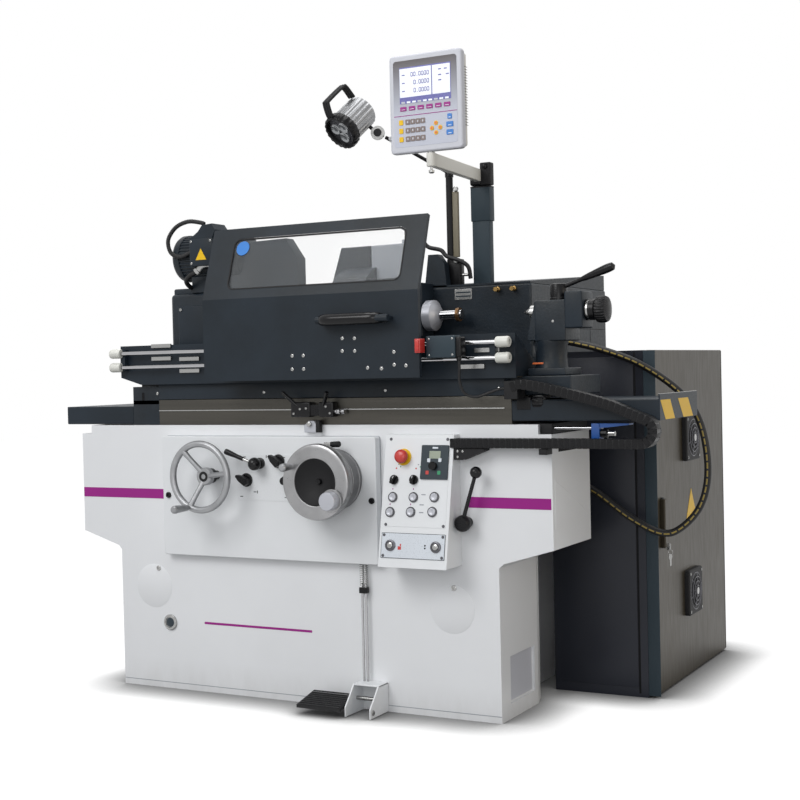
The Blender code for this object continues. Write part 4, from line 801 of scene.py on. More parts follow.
def makeInfeedControls():
    infeed = {"x": -0.52, "z": 0.70, "drum": 0.0935, "front": -0.1183, "handleTurn": 150}
    centre = vec(infeed["x"], 0, infeed["z"])
    drumRadius, front = infeed["drum"], infeed["front"]
    steps = [(-0.0045, -0.0303), (-0.0015, -0.033), (-0.0015, -0.043), (-0.0045, -0.045), (-0.0045, -0.049),
        (0, -0.051), (0, -0.084),
             (-0.0025, -0.0855), (-0.0025, -0.0890), (0, -0.0905), (0, -0.114), (-0.003, -0.1178)]
    drum = [(0, -0.0303)] + [(drumRadius + r, y) for r, y in steps] + [(0, -0.1178)]
    parts = [(lathe(drum, centre, (0, 1, 0), 128), drumSteel)]
    # fine scale lines round the drum, every tenth one longer
    angle = np.arange(100) * tau / 100
    around = np.stack([np.cos(angle), np.zeros(100), np.sin(angle)], -1)
    level = np.tile(vec(0, -1, 0), (100, 1))
    across = np.cross(level, around)
    for size, chosen in ((0.018, np.arange(100) % 10 == 0), (0.010, np.arange(100) % 10 != 0)):
        line = slab(0.0006, size, 0.0003, vec(0, size / 2, 0), (1, 0, 0), (0, 1, 0), 0.0002, 0.00005)
        origins = centre + around[chosen] * (drumRadius - 0.00005) + vec(0, -0.0915, 0)
        parts.append((placed(line, origins, across[chosen], level[chosen]), darkMarksAndShade))
    makePiece("infeedDrum", "machine", parts, ["infeed_drum"])
    # clamp screw on top of the drum
    clampFoot = centre + vec(0.000, -0.070, drumRadius + 0.004)
    knurl = [(0, 0), (0.0060, 0), (0.0088, 0.003), (0.0088, 0.030), (0.0075, 0.032), (0, 0.032)]
    makePiece("drumClamp", "machine",
              [(slab(0.022, 0.018, 0.016, clampFoot, (1, 0, 0), (0, 1, 0), 0.002, 0.001), brightSteel),
               (lathe(knurl, clampFoot + vec(0.008, 0, 0.0095), (1, 0, 0.05), 72, 0.0004, 18, (2, 3)),
               matBlack)])
    # rim of the wheel, its dished black middle and the dome nut
    rim = [(0.0695, -0.001), (0.100, -0.001), (0.110, -0.003), (0.1136, -0.0085), (0.1136, -0.028),
        (0.1118, -0.033), (0.108, -0.0352),
           (0.100, -0.0358), (0.080, -0.0345), (0.0745, -0.0358), (0.0712, -0.0345), (0.0695, -0.031)]
    turnedIn = np.linspace(0, 1, 12)
    bowl = [(0, -0.0005), (0.0694, -0.0005), (0.0694, -0.0330)]
    bowl += [(0.0680 * (1 - t), -0.0060 - 0.0270 * (1 - t) ** 2.4) for t in turnedIn]
    nut = [(0, -0.0055), (0.0085, -0.0055), (0.0085, -0.0105), (0.0060, -0.0140), (0, -0.0155)]
    start = centre + vec(0, front, 0)
    parts = [(lathe(rim, start, (0, 1, 0), 128, looped=True), brushedRing),
        (lathe(bowl, start, (0, 1, 0), 96), matBlack),
             (lathe(nut, start, (0, 1, 0), 32), blackPlastic)]
    turn = math.radians(infeed["handleTurn"])
    foot = start + vec(0.092 * math.cos(turn), -0.0345, 0.092 * math.sin(turn))
    handle = [(0, 0), (0.0090, 0), (0.0090, 0.004), (0.0078, 0.006), (0.0104, 0.016), (0.0118, 0.034),
        (0.0126, 0.046),
              (0.0118, 0.052), (0.0080, 0.0560), (0, 0.0572)]
    parts.append((lathe(handle, foot, (0, -1, 0), 32), castAluminium))
    makePiece("infeedHandwheel", "infeed_handwheel", parts, ["infeed_handwheel"])
    knobFoot = start + vec(0.062, -0.0363, -0.052)
    skirt = [(0, 0), (0.0340, 0), (0.0340, 0.009), (0.0325, 0.0105), (0, 0.0105)]
    knob = [(0, 0.010), (0.0272, 0.010), (0.0272, 0.0345), (0.0254, 0.0372), (0.0180, 0.0378), (0, 0.0378)]
    makePiece("fineFeedKnob", "fine_feed_knob",
              [(lathe(skirt, knobFoot, (0, -1, 0), 72, 0.00025, 48, (1, 2)), brushedRing),
               (lathe(knob, knobFoot, (0, -1, 0), 72), paleKnob)], ["fine_feed_knob"])


def gripLever(hub, tip, ballRadius, armRadius):
    # a shaft that thickens into a long egg-shaped grip
    way = unit(tip - hub)
    length = np.linalg.norm(tip - hub)
    t = np.linspace(0, 1, 26)
    bulge = armRadius + (ballRadius - armRadius) * np.clip((t - 0.42) / 0.58, 0,
        1) ** 0.6 * np.sqrt(np.clip(1 - ((t - 0.8) / 0.205) ** 2 * (t > 0.8), 0, 1))
    profile = [(0, 0)] + list(zip(bulge[:-1], t[:-1] * length)) + [(0, length)]
    return lathe(profile, hub, way, 28)


def makePanelLevers():
    hub = vec(-0.793, -0.064, 0.745)
    tip = vec(-0.897, -0.0725, 0.785)
    boss = [(0, -0.0337), (0.0175, -0.0337), (0.0175, -0.0260), (0.0130, -0.0240), (0.0130, -0.0100),
        (0, -0.0100)]
    makePiece("traverseLever", "traverse_lever",
              [(lathe(boss, hub, (0, -1, 0), 40), blackPlastic), (ball(hub, 0.0203, 40), glossBlack),
              (rod(hub, tip, 0.0046), brightSteel),
               (gripLever(hub + (tip - hub) * 0.38, tip, 0.0097, 0.0068), blackPlastic)], ["traverse_lever"])
    for name, piece, x, z, degrees in (("feed_mode_knob", "feedModeKnob", -0.845, 0.692, 150),
            ("dwell_knob", "dwellKnob", -0.724, 0.752, 140)):
        foot = vec(x, -0.0303, z)
        turn = math.radians(degrees)
        right = vec(math.cos(turn), 0, math.sin(turn))
        up = vec(-math.sin(turn), 0, math.cos(turn))
        outline = [(-0.014, -0.012), (0.012, -0.0095), (0.0290, -0.0030), (0.0290, 0.0030), (0.012, 0.0095),
            (-0.014, 0.012),
                   (-0.020, 0.0)]
        disc = [(0, 0), (0.0215, 0), (0.0215, 0.0045), (0.0195, 0.0062), (0.0170, 0.0065), (0.0170, 0.0115),
            (0, 0.0115)]
        parts = [(lathe(disc, foot, (0, -1, 0), 44), blackPlastic),
                 (plate(outline, 0.0185, foot + vec(0, -0.011, 0), right,
                 up * -1 if np.cross(right, up)[1] > 0 else up, 0.002), blackPlastic)]
        makePiece(piece, name, parts, [name])
    hub, tip = vec(-0.094, -0.042, 0.580), vec(-0.047, -0.042, 0.728)
    boss = [(0, -0.0415), (0.0150, -0.0415), (0.0150, -0.020), (0.0225, -0.014), (0.0245, -0.004),
        (0.0232, 0.005), (0.0190, 0.0112), (0, 0.0118)]
    neck = hub + (tip - hub) * 0.12
    parts = [(lathe(boss, hub, (0, -1, 0), 44), blackPlastic), (rod(neck, tip, 0.0058, 0.0054), matBlack),
             (ball(tip, 0.0172, 40), glossBlack)]
    makePiece("handLever", "hand_lever", parts, ["hand_lever"])


makeTableHandwheel()
makeInfeedControls()
makePanelLevers()
print("handwheels and levers done")


# table, dogs, covers, chain

def makeTableDetails():
    dress(slatePaint, "left_way_cover", "right_way_cover")
    dress(castSlate, "upper_table")
    parts = []
    # dark painted end block on the left, over the ground strip
    makePiece("lowerTable", "table",
              [(brick((-1.2052, 0.0, 0.8634), (0.0500, 0.3000, 0.9450), 0.0012), groundSteel),
               (brick((-1.3118, 0.0, 0.8634), (-1.2050, 0.3000, 0.9450), 0.0012), castSlate),
               (brick((-1.3118, 0.0, 0.9300), (-1.2050, 0.0280, 0.9890), 0.0012), castSlate)],
               ["lower_table"])
    # black slot on it, then the upper edge in slate, above the ground strip, with its scribed line
    parts.append((slab(0.010, 0.026, 0.0006, vec(-1.2700, 0.0, 0.9570), radius=0.002, edge=0.0002), darkMarksAndShade))
    parts.append((brick((-1.2050, -0.0010, 0.9462), (0.0298, 0.0306, 0.9968), 0.0015), slatePaint))
    parts.append((brick((-1.2040, -0.0030, 0.9085), (0.0290, 0.0030, 0.9118), 0.0004), brightSteel))
    parts.append((brick((0.0465, -0.0448, 0.9362), (0.0880, 0.0115, 0.9880), 0.002), matBlack))
    # screws along the upper table
    parts.append((screwHeads([(x, -0.0010, 0.966) for x in (-1.210, -0.792, -0.358, 0.012)], radius=0.0045,
        height=0.002), brightSteel))
    makePiece("tableTrim", "table", parts)
    # swivel clamp: block, shaft and large knob
    clamp = [(brick((0.0665, -0.0010, 0.9050), (0.1090, 0.028, 0.9400), 0.002), blackPlastic),
             (rod((0.108, 0.012, 0.927), (0.120, 0.012, 0.927), 0.0050), brightSteel),
             (lathe([(0, 0), (0.015, 0), (0.0185, 0.004), (0.0185, 0.026), (0.0145, 0.0335), (0, 0.0350)],
             (0.113, 0.012, 0.927), (1, 0, 0),
                    96, 0.0006, 14, (1, 3)), blackPlastic)]
    makePiece("swivelClamp", "table", clamp)
    # slanted bars on the end plate
    endX = 0.4860
    bars = []
    for outline in ([(0.004, 0.929), (0.091, 0.929), (0.132, 0.8745), (0.048, 0.8745)],
                    [(0.164, 0.929), (0.258, 0.929), (0.306, 0.8745), (0.213, 0.8745)]):
        bars.append((plate(outline, 0.0006, (endX + 0.0001, 0, 0), (0, 1, 0), (0, 0, 1), 0.0002),
            yellowPaint))
    # the end plate faces right: slate with its warm light painted in
    bars.append((brick((0.4823, 0.0004, 0.8738), (0.4860, 0.3496, 0.9447), 0.0004), warmLitSlate))
    makePiece("hazardBars", "table", bars)
    rim = [(brick((-1.5965, 0.0006, 0.9225), (-1.3150, 0.349, 0.9250), 0.0008), slatePaint),
           (brick((0.4815, 0.0004, 0.9430), (0.4862, 0.3495, 0.9460), 0.0008), brightSteel)]
    makePiece("coverEdges", "table", rim)


def makeDogs():
    parts = [(brick((-0.6745, -0.0338, 0.888), (-0.606, -0.0008, 0.934), 0.004), glossBlack),
             (brick((-0.612, -0.0300, 0.892), (-0.566, -0.0008, 0.926), 0.002), blackPlastic),
             (brick((-0.574, -0.0330, 0.888), (-0.524, -0.0008, 0.934), 0.004), glossBlack),
             (lathe([(0, 0), (0.0085, 0), (0.0085, 0.008), (0, 0.008)], (-0.524, -0.017, 0.905), (1, 0, 0),
             24), chrome),
             (lathe([(0, 0.010), (0.0088, 0.010), (0.0088, 0.018), (0.0035, 0.0185), (0.0035, 0.024),
             (0.0088, 0.0245), (0.0088, 0.034),
                     (0, 0.034)], (-0.524, -0.017, 0.905), (1, 0, 0), 24), chrome),
             (rod((-0.650, -0.028, 0.920), (-0.6975, -0.0445, 0.9655), 0.0055, 0.0062), glossBlack),
             (rod((-0.562, -0.026, 0.918), (-0.5365, -0.0445, 0.9640), 0.0056, 0.0062), glossBlack),
             (screwHeads([(-0.663, -0.0338, 0.899), (-0.640, -0.0338, 0.913), (-0.618, -0.0338, 0.915),
             (-0.548, -0.033, 0.920),
                          (-0.534, -0.033, 0.900)], radius=0.0038, height=0.0025), brightSteel)]
    makePiece("tableDogs", "table", parts, ["table_dogs"])
    bracket = [(plate([(-0.638, 0.8405), (-0.596, 0.8405), (-0.594, 0.864), (-0.603, 0.876), (-0.622, 0.876),
        (-0.630, 0.868), (-0.640, 0.862)],
                      0.014, (0, -0.0010, 0), (1, 0, 0), (0, 0, 1), 0.001), paleKnob),
               (lathe([(0, 0), (0.0075, 0), (0.0075, 0.008), (0.006, 0.009), (0, 0.009)],
               (-0.618, -0.0150, 0.866), (0, -1, 0), 28), brightSteel),
               (brick((-0.592, -0.0238, 0.8405), (-0.578, -0.006, 0.8775), 0.0015), matBlack)]
    makePiece("reversingBracket", "machine", bracket, ["reversing_bracket"])


def chainRoute():
    upper = [(0.0745, 0.972), (0.094, 0.9775), (0.17, 0.9645), (0.27, 0.941), (0.36, 0.9157), (0.425, 0.8887)]
    angle = np.radians(np.arange(45, -91, -15))
    bend = np.stack([0.4435 + 0.035 * np.cos(angle), 0.8465 + 0.035 * np.sin(angle)], -1)
    lower = np.stack([np.linspace(0.41, -0.1177, 20), np.full(20, 0.8115)], -1)
    flat = np.vstack([upper, bend, lower])
    return curve(np.stack([flat[:, 0], np.zeros(len(flat)), flat[:, 1]], -1), 600)


def makeChain():
    chain = {"front": -0.0465, "back": -0.0065, "height": 0.0270, "pitch": 0.0172}
    path = chainRoute()
    length = np.linalg.norm(np.diff(path, axis=0), axis=1).sum()
    count = int(length / chain["pitch"])
    stops = even(path, count)
    way = np.gradient(stops, axis=0)
    way /= np.linalg.norm(way, axis=1)[:, None]
    level = np.tile(vec(0, -1, 0), (count, 1))
    across = np.cross(level, way)
    depth = chain["back"] - chain["front"]
    width = chain["pitch"] * 0.90
    link = slab(width, chain["height"], 0.005, vec(0, 0, depth / 2 - 0.005), (1, 0, 0), (0, 1, 0), 0.0028,
        0.001)
    back = slab(width, chain["height"], 0.005, vec(0, 0, -depth / 2), (1, 0, 0), (0, 1, 0), 0.0028, 0.001)
    bridge = slab(width * 0.62, 0.0026, depth - 0.008,
        vec(0, chain["height"] / 2 - 0.0016, -depth / 2 + 0.004), (1, 0, 0), (0, 1, 0), 0.001, 0.0005)
    under = slab(width * 0.62, 0.0026, depth - 0.008,
        vec(0, -chain["height"] / 2 + 0.0016, -depth / 2 + 0.004), (1, 0, 0), (0, 1, 0), 0.001, 0.0005)
    knuckle = lathe([(0, depth / 2 - 0.0004), (0.0062, depth / 2 - 0.0004), (0.0056, depth / 2 + 0.0004),
        (0, depth / 2 + 0.0004)], (0, 0, 0), (0, 0, 1), 16)
    origins = stops + vec(0, (chain["front"] + chain["back"]) / 2, 0)
    ups = -across
    parts = [(placed(shape, origins, way, ups), blackPlastic) for shape in (link, back, bridge, under,
        knuckle)]
    # a smooth core behind the links: a flat bar of the chain's section carried along the same route
    core = even(path, 160) + vec(0, (chain["front"] + chain["back"]) / 2, 0)
    coreWay = np.gradient(core, axis=0)
    coreAcross = np.cross(np.tile(vec(0, -1, 0), (160, 1)),
        coreWay / np.linalg.norm(coreWay, axis=1)[:, None])
    section = roundedRect(depth - 0.0012, chain["height"] - 0.0006, 0.003, 0, 3)
    rings = core[:, None] + section[None, :, :1] * vec(0, 1, 0) + section[None, :, 1:] * coreAcross[:, None]
    parts.append((closedGrid(rings), blackRubber))
    piece = makePiece("energyChain", "machine", parts, ["energy_chain"], ride=False)
    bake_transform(piece)
    # trough, brackets and end clip on the bed
    fixed = [(brick((0.148, -0.0430, 0.780), (0.172, -0.0004, 0.7965), 0.0015), matBlack),
             (plate([(-0.1177, 0.763), (-0.090, 0.763), (-0.020, 0.790), (-0.020, 0.7965), (-0.1177, 0.7965)],
             0.036, (0, -0.0050, 0), edge=0.001), matBlack),
             (screwHeads([(-0.104, -0.0412, 0.788), (-0.088, -0.0412, 0.788), (-0.104, -0.0412, 0.772)],
             radius=0.0034, height=0.0015), brightSteel)]
    makePiece("chainBrackets", "machine", fixed)


def makeTableStop():
    stop = {"rise": 0.004, "y": 0.025}
    y, up = stop["y"], stop["rise"]
    parts = [(rod((0.1305, y, 0.848 + up), (0.293, y, 0.848 + up), 0.0042), chrome),
             (brick((0.285, 0.008, 0.8155 + up), (0.309, 0.0445, 0.8615 + up), 0.002), bluePaint),
             (plate([(0.285, 0.8485 + up), (0.330, 0.8500 + up), (0.395, 0.8570 + up), (0.395, 0.8612 + up),
             (0.285, 0.8612 + up)], 0.033,
                    (0, 0.0435, 0), edge=0.001), bluePaint),
             (lathe([(0, 0), (0.0125, 0), (0.0125, 0.018), (0.010, 0.020), (0, 0.020)],
             (0.309, y, 0.833 + up), (1, 0, 0), 72, 0.0004, 12, (1, 2)),
              blackPlastic), (rod((0.325, y, 0.833 + up), (0.3495, y, 0.833 + up), 0.0072), brightSteel)]
    makePiece("tableStop", "machine", parts, ["table_stop"])


makeTableDetails()
makeDogs()
makeChain()
makeTableStop()
print("table and chain done")


# guard rails, sliding door, interlock

def makeRails():
    rails = {"y": -0.045, "heights": (1.054, 1.099), "left": -1.362, "right": 0.069, "cap": 0.0155}
    dress(slatePaint, "guard_rail_plate")
    for name, piece, z in (("lower_rail", "lowerRail", rails["heights"][0]),
            ("upper_rail", "upperRail", rails["heights"][1])):
        left, right, cap = rails["left"], rails["right"], rails["cap"]
        bar = [(0, left + 0.02), (0.006, left + 0.02), (0.006, right - 0.02), (0, right - 0.02)]
        parts = [(lathe(bar, (0, rails["y"], z), (1, 0, 0), 32), chrome)]
        leftCap = [(0, 0), (cap - 0.004, 0), (cap - 0.0008, 0.0025), (cap, 0.006), (cap, 0.038),
            (cap - 0.002, 0.0418), (0, 0.0418)]
        parts.append((lathe(leftCap, (left, rails["y"], z), (1, 0, 0), 48), capWhite))
        rightCap = [(0, 0), (cap - 0.002, 0), (cap, 0.004), (cap, 0.036), (cap - 0.0008, 0.0395),
            (cap - 0.004, 0.0418),
                    (0.0070, 0.0418), (0.0062, 0.034), (0, 0.034)]
        parts.append((lathe(rightCap, (right - 0.042, rails["y"], z), (1, 0, 0), 48), capWhite))
        parts.append((lathe([(0, 0.0338), (0.0060, 0.0338), (0.0060, 0.0352), (0, 0.0352)],
            (right - 0.042, rails["y"], z), (1, 0, 0), 24), darkMarksAndShade))
        makePiece(piece, "table", parts, [name])
    clip = slab(0.078, 0.0125, 0.0068, vec(0, -0.0202, 0), radius=0.001, edge=0.0006)
    clips = [(-1.172, 1.121), (-1.172, 1.080), (-1.060, 1.0765), (-1.060, 1.0385), (-0.060, 1.031),
        (-0.012, 1.077)]
    # the gusset plate faces right: slate with painted warm light
    plates = [(repeat(clip, [(x, 0, z) for x, z in clips]), brightSteel),
              (plate([(-0.012, 1.115), (-0.012, 0.998), (0.134, 0.998)], 0.005, (0.0685, 0, 0), (0, 1, 0),
              (0, 0, 1), 0.0008), warmLitSlate)]
    makePiece("railClips", "table", plates)


def makeDoorDetails():
    door = {"front": -0.124, "bendZ": 1.2547, "topZ": 1.476, "topY": -0.049, "sink": -0.0030}
    dress(slatePaint, "guard_door")
    dress(clearPane, "guard_window")
    places = [(-0.605, 1.075), (-0.566, 1.075), (-0.606, 1.035), (-0.566, 1.035), (-0.430, 1.122),
        (-0.389, 1.121), (-0.431, 1.085),
              (-0.389, 1.084), (-0.259, 1.078), (-0.259, 1.041), (-0.221, 1.038), (-0.347, 1.034),
              (-0.301, 1.031)]
    parts = [(screwHeads([(x, door["front"], z) for x, z in places], radius=0.0052, height=0.0022),
        brightSteel)]
    run = unit((0, door["topY"] - door["front"], door["topZ"] - door["bendZ"]))
    out = np.cross((1, 0, 0), run)
    base = vec(0, door["front"], door["bendZ"])
    # plain blue disc at the upper left, white trim line round the window opening
    parts.append((lathe([(0, 0), (0.0235, 0), (0.0232, 0.0006), (0, 0.0007)],
        base + run * 0.167 + out * door["sink"] + vec(-0.812, 0, 0), out, 48),
                  signBlue))
    middle = base + run * 0.1135 + vec((-0.845 - 0.240) / 2, 0, 0)
    outer = roundedRect(0.605 + 0.002, 0.160 + 0.0075, 0.0235, 0, 8)
    inner = roundedRect(0.605 - 0.006, 0.160 - 0.0005, 0.0205, 0, 8)
    rows = [(outer, 0.0), (outer, 0.0010), (inner, 0.0010), (inner, -0.0035)]
    rings = np.array([points @ np.array([(1, 0, 0), run]) + height * out for points, height in rows])
    parts.append((closedGrid(middle + rings, looped=True), matBlack))
    makePiece("doorTrim", "door", parts)
    # pull handle: a smooth bar with swept ends
    span = np.linspace(0, 1, 60)
    swing = 1 - np.abs(2 * span - 1) ** 9
    path = np.stack([-0.4930 + 0.2130 * span, -0.1255 - 0.0395 * swing, np.full(60, 1.176)], -1)
    handle = makePiece("doorHandle", "door",
                       [(tube(path, 0.0175 * np.sqrt(np.clip(1 - np.abs(2 * span - 1) ** 14, 0.2, 1)),
                       (0, 0, 1), 24), glossBlack),
                        (slab(0.020, 0.026, 0.004, vec(-0.4835, -0.1240, 1.176), radius=0.006, edge=0.001),
                        blackPlastic),
                        (slab(0.020, 0.026, 0.004, vec(-0.2900, -0.1240, 1.176), radius=0.006, edge=0.001),
                        blackPlastic)])
    return handle


def makeInterlock():
    parts = [(brick((-0.1700, -0.0975, 1.0575), (-0.0780, -0.0565, 1.1205), 0.003), columnPaint),
             (brick((-0.0790, -0.0930, 1.0600), (-0.0622, -0.0570, 1.1160), 0.004), blackPlastic),
             (brick((-0.150, -0.058, 1.0645), (-0.080, -0.0205, 1.0875), 0.001), castSlate),
             (screwHeads([(-0.160, -0.0975, 1.066), (-0.160, -0.0975, 1.112), (-0.086, -0.0975, 1.066),
             (-0.086, -0.0975, 1.112)],
                         radius=0.003, height=0.0015), brightSteel),
             (lathe([(0, 0), (0.0075, 0), (0.0075, 0.009), (0.0055, 0.011), (0, 0.011)],
             (-0.075, -0.078, 1.0600), (0, 0, -1), 24), blackPlastic)]
    makePiece("interlockSwitch", "table", parts, ["interlock_switch"])
    key = [(brick((-0.1900, -0.1300, 1.0730), (-0.1720, -0.0980, 1.1135), 0.002), redPlastic),
           (brick((-0.1870, -0.1330, 1.0780), (-0.1750, -0.1290, 1.1085), 0.001), redPlastic)]
    makePiece("interlockKey", "door", key)
    route = [(-0.075, -0.078, 1.0557), (-0.075, -0.078, 1.050), (-0.075, -0.077, 1.025),
        (-0.078, -0.071, 0.988), (-0.068, -0.060, 0.955),
             (-0.040, -0.048, 0.944), (-0.010, -0.036, 0.953), (0.022, -0.030, 0.964),
             (0.0470, -0.030, 0.968)]
    makePiece("interlockCable", "table",
        [(tube(even(curve(route, 200), 90), 0.0041, (0.5, 0.85, 0.0), 14), blackRubber)],
              ["interlock_cable"])


makeRails()
makeDoorDetails()
makeInterlock()
print("guard done")


# workhead and tailstock

def makeWorkhead():
    head = {"low": (-1.15, 0.04), "high": (-0.83, 0.22), "bottom": 1.0003, "top": 1.29, "axisY": 0.10,
        "axisZ": 1.1840}
    parts = [(brick((-1.1495, 0.0405, 1.0008), (-0.8305, 0.2195, 1.0500), 0.003), castSlate),
             (brick((-1.1845, 0.0450, 1.0450), (-0.8305, 0.2150, 1.2895), 0.012, 0.016), castSlate),
             (brick((-1.1800, 0.0600, 1.2850), (-1.0200, 0.1400, 1.3080), 0.006), castSlate),
             (brick((-1.1490, 0.0402, 1.0700), (-1.0200, 0.0480, 1.2500), 0.004), slatePaint),
             (screwHeads([(-1.138, 0.0402, 1.082), (-1.138, 0.0402, 1.238), (-1.031, 0.0402, 1.082),
             (-1.031, 0.0402, 1.238)],
                         radius=0.005, height=0.003), brightSteel)]
    makePiece("workheadBody", "table", parts, ["workhead_body"])
    # belt cover on the workhead, behind the window
    cover = [(-0.985, 1.2903), (-0.694, 1.2903), (-0.694, 1.3835), (-0.738, 1.4480), (-0.985, 1.4417)]
    makePiece("beltCover", "table",
        [(plate(cover, 0.045, (0, 0.105, 0), edge=0.003), slatePaint)])
    axis = vec(0, head["axisY"], head["axisZ"])
    chuck = [(0, -0.8298), (0.0545, -0.8298), (0.0550, -0.8260), (0.0550, -0.8100), (0.0535, -0.8075),
        (0.034, -0.8040),
             (0.0300, -0.7990), (0.0280, -0.7800), (0.0180, -0.7778), (0.0150, -0.7680), (0.0006, -0.7424),
             (0, -0.7420)]
    makePiece("workheadSpindle", "workhead_spindle",
              [(lathe(chuck, axis, (1, 0, 0), 64), brightSteel),
               (screwHeads([tuple(axis + vec(-0.8080, 0.043 * math.cos(a),
               0.043 * math.sin(a))) for a in (0.5, 1.55, 2.6, 3.64, 4.7, 5.75)],
                           (1, 0, 0), 0.004, 0.003), darkMarksAndShade)], ["workhead_spindle"])
    motor = vec(0, head["axisY"], 1.407)
    fins = [(0.0715, -1.150), (0.0740, -1.148), (0.0740, -0.935), (0.0715, -0.933)]
    cowl = [(0, -1.1688), (0.030, -1.1678), (0.058, -1.1625), (0.0725, -1.1560), (0.0768, -1.1480),
        (0.0768, -1.1300), (0.0740, -1.1290), (0, -1.1290)]
    front = [(0, -0.9450), (0.0768, -0.9450), (0.0768, -0.9200), (0.070, -0.9080), (0.040, -0.9005),
        (0, -0.9002)]
    motorParts = [(lathe([(0, -1.150)] + fins + [(0, -0.933)], motor, (1, 0, 0), 240, 0.0016, 40, (0, 3)),
        castSlate),
                  (lathe(cowl, motor, (1, 0, 0), 72), castSlate),
                  (lathe(front, motor, (1, 0, 0), 72), castSlate),
                  (brick((-1.100, 0.052, 1.2903), (-0.950, 0.148, 1.345), 0.004), castSlate),
                  (brick((-1.0648, -0.0045, 1.3725), (-0.9722, 0.062, 1.4630), 0.005), slatePaint),
                  (plate([(-1.0648, 1.4600), (-0.9722, 1.4600), (-0.9600, 1.4850), (-0.9750, 1.5060),
                  (-1.0134, 1.5030), (-1.0300, 1.4830)], 0.072, (0, 0.0680, 0), edge=0.003), slatePaint),
                  (screwHeads([(-1.056, -0.0045, 1.382), (-0.981, -0.0045, 1.382), (-1.056, -0.0045, 1.452),
                  (-0.981, -0.0045, 1.452)],
                              radius=0.0038, height=0.002), brightSteel),
                  (plate([(-1.0395, 1.392), (-0.9975, 1.392), (-1.0185, 1.4285)], 0.0008, (0, -0.0047, 0),
                  edge=0.0003), yellowPaint)]
    makePiece("workheadMotor", "table", motorParts, ["workhead_motor"])
    loop = [(-1.0180, 0.0170, 1.5080), (-1.0300, 0.0165, 1.5130), (-1.0790, 0.0160, 1.5200),
        (-1.1270, 0.016, 1.5066), (-1.1580, 0.016, 1.4760),
        (-1.1630, 0.016, 1.4480), (-1.1490, 0.016, 1.4200), (-1.1130, 0.016, 1.4080),
        (-1.0655, 0.016, 1.4230)]
    path = even(curve(loop, 300), 260)
    ribs = 0.0067 + 0.0006 * np.cos(np.arange(260) * tau / 5)
    makePiece("workheadConduit", "table", [(tube(path, ribs, (0, 1, 0), 16), blackRubber)],
        ["workhead_conduit"])
    # conduit elbow low on the motor's side, bright cast fitting with its grommets
    elbow = curve([(-1.0010, 0.020, 1.3790), (-1.0140, 0.016, 1.3790), (-1.0280, 0.014, 1.3745),
        (-1.0410, 0.014, 1.3620)], 24)
    lead = curve([(-1.0410, 0.014, 1.3620), (-1.0560, 0.014, 1.3540), (-1.0760, 0.014, 1.3465),
        (-1.0970, 0.020, 1.3300), (-1.1020, 0.040, 1.3146),
                  (-1.1020, 0.070, 1.3050)], 60)
    makePiece("motorElbow", "table",
              [(tube(elbow, 0.0125, (0.2, 1, 0.1), 20), brightSteel),
              (lathe([(0, 0), (0.0150, 0), (0.0150, 0.010), (0, 0.010)], elbow[0], (1, 0, 0), 28),
              brightSteel),
               (lathe([(0, 0), (0.0150, 0), (0.0150, 0.010), (0, 0.010)], elbow[-1], (-0.8, 0, -0.6), 28),
               brightSteel),
               (tube(lead, 0.0075, (0.1, 1, 0), 16), blackRubber)])


